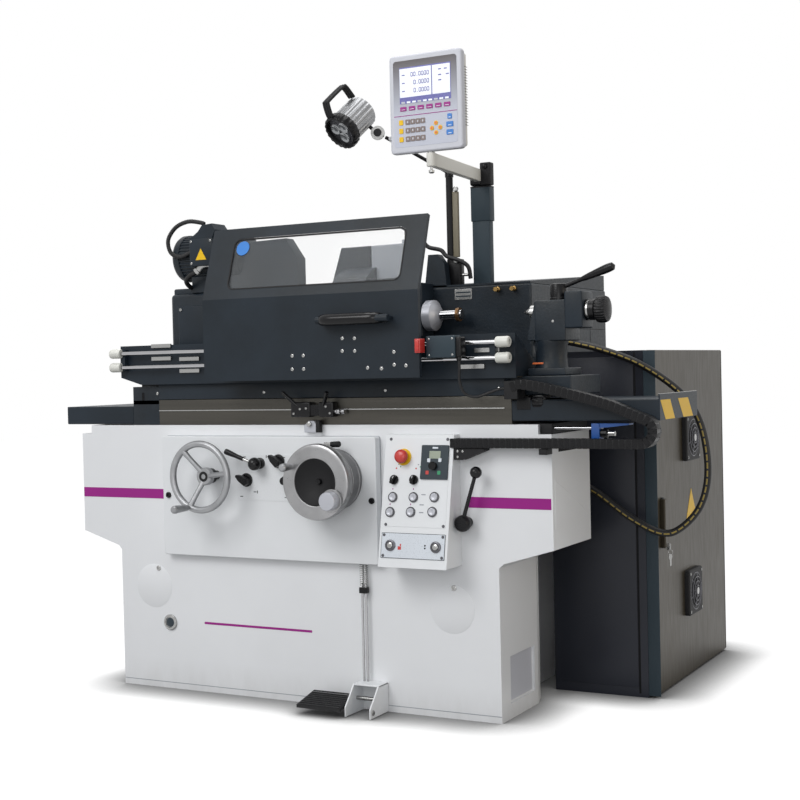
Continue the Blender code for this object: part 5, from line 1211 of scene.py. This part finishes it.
def makeTailstock():
    axis = vec(0, 0.10, 1.1840)
    parts = [(brick((0.0855, 0.0405, 1.0006), (0.1995, 0.1695, 1.0215), 0.003), castSlate),
             (lathe([(0, 0.0150), (0.0500, 0.0150), (0.0500, 0.0200), (0.0470, 0.0260), (0.0450, 0.0560),
             (0.0470, 0.0880), (0.0500, 0.0950), (0.0500, 0.1018),
                     (0, 0.1018)], (0.135, 0.10, 1.0), (0, 0, 1), 72), castSlate),
             (slab(0.036, 0.005, 0.006, vec(0.112, 0.0602, 1.0355), radius=0.001, edge=0.0005), keyOrange),
             (brick((0.1045, 0.0505, 1.0985), (0.1985, 0.1645, 1.2146), 0.004), castSlate),
             (plate([(0.112, 1.2138), (0.1045, 1.2138), (0.0805, 1.112), (0.0805, 1.1008), (0.112, 1.1008)],
             0.104, (0, 0.1595, 0), edge=0.002), castSlate),
             (brick((0.1955, 0.0505, 1.1335), (0.2495, 0.1395, 1.2375), 0.005), slatePaint),
             (screwHeads([(0.1606, 0.0505, 1.1542)], radius=0.0035, height=0.0004), brightSteel)]
    makePiece("tailstockBody", "table", parts, ["tailstock_body"])
    quill = [(0, 0.0502), (0.0086, 0.0655), (0.0088, 0.0720), (0.0120, 0.0725), (0.0198, 0.0765),
        (0.0200, 0.0790), (0.0200, 0.1795), (0, 0.1795)]
    makePiece("tailstockQuill", "tailstock_quill",
        [(lathe(quill, axis, (1, 0, 0), 56), brightSteel)], ["tailstock_quill"])
    foot = vec(0.2503, 0.09, 1.184)
    neck = [(0, 0), (0.0300, 0), (0.0300, 0.0260), (0.0270, 0.0290), (0, 0.0290)]
    grip = [(0, 0.0280), (0.0300, 0.0280), (0.0362, 0.0320), (0.0372, 0.0370), (0.0372, 0.0540),
        (0.0340, 0.0610), (0.0220, 0.0655), (0, 0.0685)]
    makePiece("tailstockKnob", "tailstock_knob",
              [(lathe(neck, foot, (1, 0, 0), 48), blackPlastic),
              (lathe(grip, foot, (1, 0, 0), 160, 0.0008, 28, (2, 5)), blackPlastic),
               (rod(foot + vec(0.004, 0, 0), foot + vec(0.010, 0, 0), 0.0303), brightSteel)],
               ["tailstock_knob"])
    base = vec(0.165, 0.09, 1.2151)
    column = [(0, 0), (0.0255, 0), (0.0255, 0.0060), (0.0240, 0.0075), (0.0240, 0.0400), (0.0215, 0.0460),
        (0.0140, 0.0478), (0, 0.0480)]
    start, end = base + vec(0, 0, 0.032), vec(0.340, 0.078, 1.305)
    makePiece("tailstockLever", "tailstock_lever",
              [(lathe(column, base, (0, 0, 1), 48), blackPlastic),
              (gripLever(start, end, 0.0142, 0.0062), blackPlastic)], ["tailstock_lever"])


makeWorkhead()
makeTailstock()
print("workhead and tailstock done")


# wheelhead, wheel, readout, lamp

def makeWheelhead():
    dress(castSlate, "wheelhead_body", "wheel_guard")
    axis = vec(0, 0.33, 1.1840)
    rim = [(0, -0.6348), (0.0180, -0.6348), (0.0180, -0.6255), (0.0560, -0.6250), (0.0598, -0.6215),
        (0.0600, -0.6152), (0.1590, -0.6148), (0.1600, -0.6138),
           (0.1600, -0.5762), (0.1590, -0.5752), (0.0600, -0.5748), (0.0598, -0.5665), (0.0560, -0.5650),
           (0.0300, -0.5630), (0.0300, -0.3905), (0, -0.3900)]
    makePiece("grindingWheel", "grinding_wheel",
              [(lathe(rim, axis, (1, 0, 0), 120), abrasive),
               (screwHeads([tuple(axis + vec(-0.6250, 0.046 * math.cos(a),
               0.046 * math.sin(a))) for a in np.arange(6) * tau / 6 + 0.3], (-1, 0, 0), 0.0045, 0.003),
               brightSteel)],
              ["grinding_wheel"])
    flange = [(0, -0.3650), (0.0465, -0.3650), (0.0485, -0.3630), (0.0485, -0.3370), (0.0465, -0.3350),
        (0.0380, -0.3300), (0.0220, -0.3180), (0, -0.3180)]
    shaft = [(0, -0.3190), (0.0160, -0.3190), (0.0160, -0.2430), (0.0145, -0.2422), (0, -0.2422)]
    ring = [(0, -0.2600), (0.0215, -0.2600), (0.0215, -0.2500), (0, -0.2495)]
    place = vec(0, 0.30, 1.195)
    makePiece("internalSpindle", "wheelhead",
              [(lathe(flange, place, (1, 0, 0), 72), paleKnob), (lathe(shaft, place, (1, 0, 0), 48), chrome),
              (lathe(ring, place, (1, 0, 0), 56), copperGlow)],
              ["internal_grinding_spindle"])
    motorAxis = vec(0, 1.115, 1.13)
    motorBody = [(0, -0.4200), (0.0800, -0.4200), (0.0800, -0.2350), (0, -0.2350)]
    cowl = [(0, -0.4698), (0.060, -0.4690), (0.0790, -0.4640), (0.0848, -0.4540), (0.0848, -0.4100),
        (0.0820, -0.4080), (0, -0.4080)]
    front = [(0, -0.2450), (0.0848, -0.2450), (0.0848, -0.1950), (0.0780, -0.1800), (0.0500, -0.1702),
        (0, -0.1700)]
    makePiece("wheelMotor", "wheelhead",
              [(lathe(motorBody, motorAxis, (1, 0, 0), 240, 0.0028, 40, (0, 1)), castSlate),
              (lathe(cowl, motorAxis, (1, 0, 0), 72), castSlate),
               (lathe(front, motorAxis, (1, 0, 0), 72), castSlate),
               (brick((-0.420, 1.0203, 1.070), (-0.220, 1.068, 1.190), 0.004), castSlate)],
              ["wheel_motor"])
    wedge = [(0.352, 1.2862), (1.0185, 1.2862), (1.0185, 1.3390), (0.352, 1.2920)]
    parts = [(plate(wedge, 0.463, (-0.4965, 0, 0), (0, 1, 0), (0, 0, 1), 0.003), castSlate),
             (slab(0.060, 0.034, 0.0012, vec(-0.262, 0.3500, 1.2600), radius=0.002, edge=0.0004),
             brightSteel),
             (repeat(slab(0.052, 0.0045, 0.0004, vec(-0.262, 0.3488, 0), radius=0.001, edge=0.0001),
             [(0, 0, 1.2660), (0, 0, 1.2540)]), darkPanel)]
    fitting = [(0, 0), (0.0080, 0), (0.0080, 0.008), (0.0055, 0.010), (0.0055, 0.016), (0.0070, 0.018),
        (0.0070, 0.024), (0, 0.024)]
    parts.append((repeat(lathe(fitting, (0, 0.3500, 1.270), (0, -1, 0), 28),
        [(-0.140, 0, 0), (-0.085, 0, 0)]), brass))
    # seams on the right side and the slide's way cover
    for y in (0.60, 0.86):
        parts.append((brick((-0.0306, y, 1.012), (-0.0294, y + 0.0015, 1.274), 0.0004), darkMarksAndShade))
    parts.append((brick((-0.0306, 0.362, 1.1485), (-0.0294, 1.010, 1.1500), 0.0004), darkMarksAndShade))
    makePiece("wheelheadTrim", "wheelhead", parts)
    # upper guard cover behind the window, coolant tap and its hose
    upper = [((-0.703, 1.3147), (-0.5555, 1.3147), (-0.5555, 1.4272), (-0.666, 1.4267)),
        ((-0.5545, 1.3147), (-0.450, 1.3180), (-0.433, 1.4284), (-0.5545, 1.4272))]
    covers = [(plate(outline, 0.100, (0, 0.380, 0), edge=0.003), finishing) for outline,
        finishing in zip(upper, (slatePaint, greyCover))]
    makePiece("guardCover", "wheelhead", covers)
    pipe = curve([(-0.4290, 0.335, 1.428), (-0.4080, 0.350, 1.440), (-0.3866, 0.360, 1.4176),
        (-0.3429, 0.360, 1.4052), (-0.3216, 0.360, 1.3843),
                  (-0.2786, 0.360, 1.3689), (-0.2500, 0.365, 1.3480), (-0.2450, 0.372, 1.3100)], 70)
    guard = [(tube(pipe, 0.0068, (0.2, 1, 0), 16), blackRubber),
        (rod((-0.4730, 0.330, 1.4889), (-0.4298, 0.330, 1.4636), 0.0065), chrome),
             (rod((-0.4480, 0.330, 1.4290), (-0.4480, 0.330, 1.4760), 0.0085), ringSteel),
             (brick((-0.4620, 0.318, 1.4290), (-0.4340, 0.342, 1.4440), 0.003), greyCover)]
    makePiece("coolantPipe", "wheelhead", guard)


def makeReadout():
    readout = {"left": -0.322, "right": -0.084, "low": 1.662, "high": 1.951}
    width, height = readout["right"] - readout["left"], readout["high"] - readout["low"]
    middle = vec((readout["left"] + readout["right"]) / 2, 0, (readout["low"] + readout["high"]) / 2)
    parts = [(slab(width, height, 0.024, middle + vec(0, 0.0242, 0), radius=0.012, edge=0.006, both=True,
        steps=8), caseGrey),
             (slab(width - 0.016, height - 0.018, 0.022, middle + vec(0.002, 0.0448, 0), radius=0.008,
             edge=0.003, both=True), creamPaint),
             (slab(width - 0.030, height - 0.036, 0.0006, middle + vec(-0.001, 0.0002, 0.001), radius=0.009,
             edge=0.0002, steps=8), readoutBezel)]

    def face(w, h, u, v, material, lift=0.0006, depth=0.0006, radius=0.001):
        # u and v run from the left and from the top of the bezel, as shares of its size
        place = vec(readout["left"] + 0.014 + u * (width - 0.030), 0.0002 - lift,
            readout["high"] - 0.017 - v * (height - 0.036))
        parts.append((slab(w, h, depth, place, radius=radius, edge=0.0002), material))

    face(0.168, 0.106, 0.505, 0.290, screenViolet)
    face(0.104, 0.084, 0.355, 0.262, screenWhite, 0.0012, 0.0004)
    face(0.058, 0.084, 0.760, 0.262, screenWhite, 0.0012, 0.0004)
    for row in range(3):
        # figures as plain bars with a light middle, a bar in front of each row
        v = 0.170 + row * 0.093
        for u in (0.30, 0.343, 0.425, 0.468, 0.511, 0.554)[(0 if row == 0 else 1):]:
            face(0.0075, 0.0130, u, v, screenViolet, 0.0016, 0.0003, 0.0026)
            face(0.0040, 0.0088, u, v, screenWhite, 0.0019, 0.0002, 0.0014)
        face(0.0020, 0.0022, 0.384, v + 0.021, screenViolet, 0.0016, 0.0003, 0.0006)
        face(0.0095, 0.0030, 0.165, v, screenViolet, 0.0016, 0.0003, 0.0005)
    for u, v in ((0.74, 0.150), (0.83, 0.150), (0.74, 0.215), (0.86, 0.215), (0.74, 0.275)):
        face(0.010, 0.0034, u, v, screenViolet, 0.0016, 0.0003, 0.0006)
    for k in range(9):
        face(0.012, 0.0052, 0.155 + 0.086 * k, 0.487, screenWhite if k % 3 else caseGrey, 0.0012, 0.0003,
            0.0006)
    for k in range(6):
        face(0.0205, 0.0125, 0.155 + 0.138 * k, 0.560, purplePaint, 0.0010, 0.0012, 0.0015)
        face(0.0130, 0.0016, 0.155 + 0.138 * k, 0.568, paleKnob, 0.0022, 0.0002, 0.0005)
    face(width - 0.031, 0.0020, 0.50, 0.640, purplePaint, 0.0008, 0.0004, 0.0005)
    for row in range(3):
        v = 0.715 + row * 0.098
        face(0.0135, 0.0150, 0.115, v, yellowPaint, 0.0010, 0.0014, 0.002)
        for column in range(4):
            face(0.0148, 0.0152, 0.220 + column * 0.080, v, keyBrown, 0.0010, 0.0014, 0.002)
            face(0.0036, 0.0060, 0.220 + column * 0.080, v, caseGrey, 0.0024, 0.0002, 0.0010)
    for u, v in ((0.665, 0.760), (0.665, 0.870), (0.600, 0.815), (0.730, 0.815)):
        face(0.0130, 0.0130, u, v, yellowPaint, 0.0010, 0.0012, 0.0064)
        face(0.0080, 0.0080, u, v, keyOrange, 0.0022, 0.0004, 0.0039)
    for v, w in ((0.700, 0.0140), (0.790, 0.0220), (0.880, 0.0220)):
        face(w, 0.0150, 0.880, v, signBlue, 0.0010, 0.0014, 0.002)
        face(w * 0.5, 0.0020, 0.880, v + 0.012, lightPlate, 0.0024, 0.0002, 0.0006)
    stub = [(0, 0), (0.0108, 0), (0.0108, 0.0110), (0, 0.0110)]
    parts.append((lathe(stub, (-0.197, 0.018, 1.660), (0, 0, 1), 36), brightSteel))
    parts.append((repeat(brick((-0.085, 0.020, 0), (-0.0838, 0.038, 0.0015), 0.0004),
        [(0, 0, z) for z in np.arange(1.73, 1.90, 0.008)]), darkMarksAndShade))
    makePiece("readoutDisplay", "readout_display", parts, ["readout_display"])

    start, end = vec(-0.2330, 0.4250, 1.640), vec(-0.197, 0.018, 1.640)
    way = unit(end - start)
    across = np.cross(way, (0, 0, 1))
    length = np.linalg.norm(end - start)
    bolt = [(0, 0), (0.0090, 0), (0.0090, 0.005), (0.0060, 0.007), (0, 0.007)]
    clamp = [(0, 1.6200), (0.0130, 1.6200), (0.0140, 1.6220), (0.0140, 1.6575), (0.0120, 1.6595), (0, 1.6595)]
    knob = [(0, 1.5990), (0.0050, 1.5993), (0.0085, 1.6020), (0.0085, 1.6090), (0.0040, 1.6105),
        (0.0040, 1.6210), (0, 1.6210)]
    makePiece("readoutArm", "readout_arm",
              [(brick((-0.2620, 0.4125, 1.6075), (-0.2220, 0.4550, 1.6620), 0.008), blackPlastic),
               (brick((-0.2250, 0.4120, 1.6075), (-0.1880, 0.4420, 1.6800), 0.004), matBlack),
               (lathe(bolt, (-0.2070, 0.4120, 1.6680), (0, -1, 0), 28), blackPlastic),
               (slab(0.0215, 0.0395, length + 0.006, start, -across, (0, 0, 1), 0.003, 0.002), creamPaint),
               (lathe(clamp, (-0.197, 0.018, 0), (0, 0, 1), 36), creamPaint),
               (lathe(knob, (-0.197, 0.018, 0), (0, 0, 1), 28), brightSteel)],
              ["readout_arm"])
    makePiece("readoutColumn", "wheelhead",
              [(brick((-0.2585, 0.4205, 1.2866), (-0.1980, 0.4500, 1.5000), 0.002), columnPaint),
               (brick((-0.2615, 0.4180, 1.4950), (-0.1945, 0.4540, 1.6068), 0.002), columnPaint),
               (brick((-0.2620, 0.4175, 1.6010), (-0.1940, 0.4545, 1.6068), 0.002), matBlack)],
               ["readout_column"])


def makeLamp():
    lamp = {"x": -0.327, "y": 0.40, "joint": (-0.447, 0.15, 1.760), "middle": (-0.513, 0.105, 1.797),
        "beam": (-0.266, -0.711, -0.650)}
    x, y = lamp["x"], lamp["y"]
    silver = [(0, 0), (0.0085, 0), (0.0085, 0.006), (0.0060, 0.008), (0, 0.008)]
    makePiece("lampPole", "wheelhead",
              [(lathe([(0, 1.2866), (0.0115, 1.2866), (0.0115, 1.6395), (0, 1.6395)], (x, y, 0), (0, 0, 1),
              36), matBlack),
               (brick((-0.3150, 0.3935, 1.3830), (-0.2960, 0.4065, 1.5930), 0.002), olivePaint),
               (brick((-0.3350, 0.3850, 1.2866), (-0.2880, 0.4180, 1.3770), 0.003), blackPlastic),
               (repeat(lathe(silver, (-0.300, 0.3930, 0), (0, -1, 0), 28),
               [(0, 0, 1.600), (0, -0.008, 1.370)]), brightSteel),
               (rod((-0.2850, 0.395, 1.3250), (-0.2560, 0.395, 1.3250), 0.0050), brightSteel)], ["lamp_pole"])
    joint, middle, way = vec(*lamp["joint"]), vec(*lamp["middle"]), unit(lamp["beam"])
    top = vec(x, y, 1.640)
    facing = unit((0.35, -0.93, 0.1))
    makePiece("lampArm", "lamp_arm",
              [(lathe([(0, 0.0005), (0.0138, 0.0005), (0.0138, 0.022), (0.0115, 0.0255), (0, 0.0255)], top,
              (0, 0, 1), 36), blackPlastic),
               (rod(top + vec(0, 0, 0.014), joint + vec(0.016, 0.022, -0.012), 0.0056), matBlack),
               (slab(0.016, 0.012, 0.040, joint + vec(0.028, 0.040, -0.020), (0.9, 0.4, 0), (0, 0, 1), 0.003,
               0.002), castAluminium),
               (lathe([(0.0120, -0.004), (0.0215, -0.004), (0.0222, 0.0), (0.0215, 0.007), (0.0120, 0.007)],
               joint, facing, 40, looped=True), brightSteel),
               (lathe([(0, -0.003), (0.0125, -0.003), (0.0125, 0.0085), (0, 0.0090)], joint, facing, 32),
               matBlack)], ["lamp_arm"])
    case = [(0, -0.0655), (0.0360, -0.0645), (0.0470, -0.0600), (0.0500, -0.0540), (0.0500, 0.0360),
        (0.0480, 0.0380), (0, 0.0380)]
    bezel = [(0.0470, 0.0340), (0.0545, 0.0350), (0.0578, 0.0400), (0.0578, 0.0600), (0.0550, 0.0650),
        (0.0500, 0.0655), (0.0465, 0.0590), (0.0465, 0.0400)]
    head = [(lathe(case, middle, way, 240, 0.0018, 20, (2, 3)), castAluminium),
        (lathe(bezel, middle, way, 120, 0.0012, 20, (1, 4), looped=True), blackPlastic),
        (lathe([(0, 0.0500), (0.0468, 0.0500), (0.0468, 0.0530), (0, 0.0535)], middle, way, 72),
        ringSteel)]
    across, upright = axes(way)[:2]
    lens = [(0, 0.0530), (0.0185, 0.0530), (0.0185, 0.0565), (0.0160, 0.0580), (0.0110, 0.0560),
        (0.0050, 0.0548), (0, 0.0560)]
    for turn in (0.5, 2.6, 4.7):
        head.append((lathe(lens, middle + (math.cos(turn) * across + math.sin(turn) * upright) * 0.0215, way,
            40), lensGlass))
    # black frame handle standing up from the bezel, in the plane of the beam and the lamp's top
    topWay = unit(vec(0, 0, 1) - way * way[2])
    frameFlat = [(0.052, 0.052), (0.062, 0.060), (0.096, 0.048), (0.101, 0.036), (0.101, -0.034),
        (0.094, -0.046), (0.054, -0.050)]
    framePath = curve([middle + topWay * r + way * a for r, a in frameFlat], 80)
    side = np.cross(way, topWay)
    for offset, radius in ((-0.010, 0.0048), (0.010, 0.0048), (0, 0.0050)):
        head.append((tube(framePath + side * offset, radius, side, 10), matBlack))
    ear = joint - facing * 0.017
    head += [(lathe([(0, -0.006), (0.0140, -0.006), (0.0140, 0.0030), (0, 0.0035)], ear, facing, 36),
        brightSteel), (rod(ear, middle - way * 0.03, 0.0058), matBlack)]
    makePiece("lampHead", "lamp_head", head, ["lamp_head"])


makeWheelhead()
makeReadout()
makeLamp()
print("wheelhead, readout and lamp done")


# cabinet and pedal

def makeCabinet():
    cabinet = {"left": -0.020, "right": 0.310, "front": 0.462, "rear": 1.262, "top": 1.069}
    dress(cabinetPaint, "cabinet_shell")
    # the door faces right: slate with the warm light falling on it painted into its colour
    dress(warmLitSlate, "cabinet_door")
    parts = []
    for z in (0.781, 0.2755):
        centre = vec(cabinet["right"], 0.848, z)
        parts.append((slab(0.148, 0.148, 0.017, centre, (0, 1, 0), (0, 0, 1), 0.010, 0.005), matBlack))
        # wire rings that bulge outwards, their hub and spokes
        for radius, rise in ((0.018, 0.0225), (0.032, 0.0215), (0.046, 0.0195), (0.060, 0.0165)):
            parts.append((torus(centre + vec(rise, 0, 0), (1, 0, 0), radius, 0.0016, 56, 8), ringSteel))
        parts.append((lathe([(0, 0.0160), (0.012, 0.0160), (0.012, 0.0235), (0, 0.0240)], centre, (1, 0, 0),
            36), brightSteel))
        for turn in np.arange(6) * np.pi / 3 + 0.3:
            spoke = vec(0, math.cos(turn), math.sin(turn))
            parts.append((rod(centre + spoke * 0.010 + vec(0.0215, 0, 0),
                centre + spoke * 0.064 + vec(0.0160, 0, 0), 0.0018, steps=8), ringSteel))
        parts.append((screwHeads([tuple(centre + vec(0.017, sy * 0.062, sz * 0.062)) for sy in (-1,
            1) for sz in (-1, 1)], (1, 0, 0), 0.0045, 0.0018), brightSteel))
    parts.append((plate([(0.802, 0.507), (0.926, 0.507), (0.864, 0.612)], 0.0008, (cabinet["right"], 0, 0),
        (0, 1, 0), (0, 0, 1), 0.0003), yellowPaint))
    # swing handle on its plate, with the lock and its hanging keys under it
    handle = vec(cabinet["right"], 0.548, 0.545)
    parts.append((slab(0.026, 0.130, 0.006, handle, (0, 1, 0), (0, 0, 1), 0.008, 0.002), matBlack))
    parts.append((slab(0.020, 0.108, 0.010, handle + vec(0.0058, 0, -0.004), (0, 1, 0), (0, 0, 1), 0.008,
        0.004), blackPlastic))
    lockPlace = handle + vec(0.0, 0.004, -0.082)
    parts.append((lathe([(0, 0), (0.0115, 0), (0.0115, 0.012), (0.0090, 0.014), (0, 0.014)], lockPlace,
        (1, 0, 0), 36), brightSteel))
    parts.append((slab(0.0022, 0.022, 0.012, lockPlace + vec(0.0135, 0, -0.006), (0, 1, 0), (0, 0, 1), 0.0008,
        0.0005), brightSteel))
    ringPlace = lockPlace + vec(0.0240, 0, -0.022)
    parts.append((torus(ringPlace, (0, 1, 0), 0.0070, 0.0009, 28, 8), brightSteel))
    key = [(-0.004, 0.0), (0.004, 0.0), (0.0065, -0.010), (0.004, -0.016), (0.0025, -0.018), (0.0025, -0.038),
        (-0.0015, -0.038), (-0.0025, -0.018), (-0.004, -0.016), (-0.0065, -0.010)]
    for oy in (-0.003, 0.005):
        parts.append((plate(key, 0.0014, ringPlace + vec(-0.001, oy, -0.006), (0.5, 1, 0), (0, 0, 1), 0.0003),
            brightSteel))
    # folded edges of the door
    for y in (0.4655, 1.2560):
        parts.append((brick((cabinet["right"] - 0.0006, y, 0.010),
            (cabinet["right"] + 0.0010, y + 0.0020, 1.066), 0.0004), slatePaint))
    edgeLow, edgeHigh = (np.array(c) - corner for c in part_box("cabinet_door"))
    parts.append((brick((edgeLow[0] + 0.0005, edgeLow[1] - 0.0007, edgeLow[2] + 0.001),
        (edgeHigh[0] - 0.0008, edgeLow[1] + 0.001, edgeHigh[2] - 0.001),
                        0.0005), columnPaint))
    makePiece("cabinetDoorTrim", "cabinet_door", parts)
    front = cabinet["front"]
    shell = [(brick((cabinet["left"] - 0.0004, front - 0.0022, 0.030), (0.255, front + 0.002, 1.050), 0.001),
        cabinetPaint),
             (brick((0.2560, front - 0.0008, 0.012), (0.2620, front + 0.002, 1.064), 0.0004), darkMarksAndShade)]
    makePiece("cabinetFront", "machine", shell)


def makePedal():
    pedal = {"y": -0.045, "z": 0.045}
    # bent sheet bracket: two cheeks, a roof and a back plate
    cheek = [(-0.0010, 0.002), (-0.0010, 0.089), (-0.060, 0.089), (-0.085, 0.060), (-0.113, 0.030),
        (-0.113, 0.002)]
    makePiece("pedalBracket", "machine",
              [(repeat(plate(cheek, 0.004, (0, 0, 0), (0, 1, 0), (0, 0, 1), 0.0008),
              [(-0.460, 0, 0), (-0.376, 0, 0)]), panelPaint),
               (brick((-0.4600, -0.0600, 0.0850), (-0.3720, -0.0010, 0.0895), 0.001), panelPaint),
               (brick((-0.4590, -0.0050, 0.0020), (-0.3730, -0.0008, 0.0880), 0.0008), panelPaint),
               (screwHeads([(-0.3720, -0.098, 0.018)], (1, 0, 0), 0.008, 0.0035), brightSteel)],
               ["pedal_bracket"])
    parts = []
    for x in (-0.4465, -0.4335):
        parts.append((rod((x, -0.015, 0.0885), (x, -0.015, 0.384), 0.0034), chrome))
        parts.append((helix((x, -0.015, 0.376), (x, -0.015, 0.443), 0.0058, 12, 0.0011), brightSteel))
    parts.append((brick((-0.4530, -0.0240, 0.3560), (-0.4270, -0.0060, 0.3740), 0.002), blackPlastic))
    makePiece("pedalRods", "machine", parts)
    outline = [(-0.135, 0.0203), (-0.135, 0.0300), (-0.035, 0.0518), (-0.035, 0.0385)]
    pad = [(plate([(y, z) for y, z in outline], 0.151, (-0.6145, 0, 0), (0, 1, 0), (0, 0, 1), 0.001),
        blackRubber),
           (rod((-0.612, pedal["y"], pedal["z"]), (-0.3785, pedal["y"], pedal["z"]), 0.0059), brightSteel)]
    slope = unit((0, 0.100, 0.0218))
    ridges = np.arange(9) / 8.0
    origins = vec(-0.539, -0.131, 0.0309) + ridges[:, None] * vec(0, 0.092, 0.0200)
    ridge = slab(0.144, 0.0045, 0.0022, vec(0, 0, 0), (1, 0, 0), (0, 1, 0), 0.001, 0.0008)
    level = np.tile(vec(1, 0, 0), (9, 1))
    pad.append((placed(ridge, origins, level, np.tile(slope, (9, 1))), blackRubber))
    makePiece("footPedal", "foot_pedal", pad, ["foot_pedal"])


makeCabinet()
makePedal()
print("cabinet and pedal done")


# floor, lights, world

def rayMix(tree, seen, other):
    # seen straight, in gloss and through glass: the first shader; for all other rays the second
    path = tree.nodes.new("ShaderNodeLightPath")
    gloss, clear = tree.nodes.new("ShaderNodeMath"), tree.nodes.new("ShaderNodeMath")
    gloss.operation = clear.operation = "MAXIMUM"
    tree.links.new(path.outputs["Is Camera Ray"], gloss.inputs[0])
    tree.links.new(path.outputs["Is Glossy Ray"], gloss.inputs[1])
    tree.links.new(gloss.outputs[0], clear.inputs[0])
    tree.links.new(path.outputs["Is Transmission Ray"], clear.inputs[1])
    mix = tree.nodes.new("ShaderNodeMixShader")
    tree.links.new(clear.outputs[0], mix.inputs[0])
    tree.links.new(other, mix.inputs[1])
    tree.links.new(seen, mix.inputs[2])
    return mix.outputs[0]


def makeStudio():
    studio = {"floorColour": 0.22, "floorGlow": 0.88, "worldSeen": 1.0, "worldLight": 0.52}
    mesh = bpy.data.meshes.new("floor")
    mesh.from_pydata([(-14, -14, 0), (14, -14, 0), (14, 14, 0), (-14, 14, 0)], [], [(0, 1, 2, 3)])
    floor = bpy.data.objects.new("floor", mesh)
    bpy.context.scene.collection.objects.link(floor)
    material = bpy.data.materials.new("paleFloor")
    material.use_nodes = True
    tree = material.node_tree
    shader = tree.nodes["Principled BSDF"]
    shader.inputs["Base Color"].default_value = (*[studio["floorColour"]] * 3, 1)
    shader.inputs["Roughness"].default_value = 0.9
    shader.inputs["Specular IOR Level"].default_value = 0.1
    glow = tree.nodes.new("ShaderNodeEmission")
    glow.inputs["Color"].default_value = (1, 1, 1, 1)
    # painted contact shadow: the glow of the floor fades where the machine stands close over it
    openness = tree.nodes.new("ShaderNodeAmbientOcclusion")
    openness.inputs["Distance"].default_value = 0.18
    deeper, glowing = tree.nodes.new("ShaderNodeMath"), tree.nodes.new("ShaderNodeMath")
    deeper.operation, deeper.inputs[1].default_value = "POWER", 4.0
    glowing.operation, glowing.inputs[1].default_value = "MULTIPLY", studio["floorGlow"]
    tree.links.new(openness.outputs["AO"], deeper.inputs[0])
    tree.links.new(deeper.outputs[0], glowing.inputs[0])
    tree.links.new(glowing.outputs[0], glow.inputs["Strength"])
    both = tree.nodes.new("ShaderNodeAddShader")
    tree.links.new(shader.outputs[0], both.inputs[0])
    tree.links.new(glow.outputs[0], both.inputs[1])
    tree.links.new(rayMix(tree, both.outputs[0], shader.outputs[0]),
        tree.nodes["Material Output"].inputs["Surface"])
    floor.data.materials.append(material)

    world = bpy.data.worlds.new("studio")
    bpy.context.scene.world = world
    world.use_nodes = True
    tree = world.node_tree
    seen, light = tree.nodes["Background"], tree.nodes.new("ShaderNodeBackground")
    seen.inputs["Color"].default_value = (1, 1, 1, 1)
    seen.inputs["Strength"].default_value = studio["worldSeen"]
    light.inputs["Color"].default_value = (0.95, 0.97, 1.0, 1)
    light.inputs["Strength"].default_value = studio["worldLight"]
    tree.links.new(rayMix(tree, seen.outputs[0], light.outputs[0]),
        tree.nodes["World Output"].inputs["Surface"])

    lamps = {"key": ((-1.6, -3.4, 3.6), 2.6, 99, (1.0, 1.0, 1.0)),
        "front": ((1.4, -4.2, 1.5), 2.2, 32, (1.0, 1.0, 1.0)),
             "right": ((4.2, 0.2, 1.6), 2.4, 22, (1.0, 0.86, 0.66)),
             "top": ((-0.6, 0.6, 4.6), 3.0, 66, (1.0, 1.0, 1.0))}
    for name, (place, size, power, colour) in lamps.items():
        data = bpy.data.lights.new(name, "AREA")
        data.shape, data.size, data.energy, data.color = "DISK", size, power, colour
        lamp = bpy.data.objects.new(name, data)
        bpy.context.scene.collection.objects.link(lamp)
        target = Vector((-0.5, 0.3, 0.8)) + Vector(corner)
        lamp.location = Vector(place) + Vector(corner)
        lamp.rotation_euler = (target - lamp.location).to_track_quat("-Z", "Y").to_euler()
    bpy.context.scene.view_settings.view_transform = "Standard"


makeStudio()
print("all pieces made")
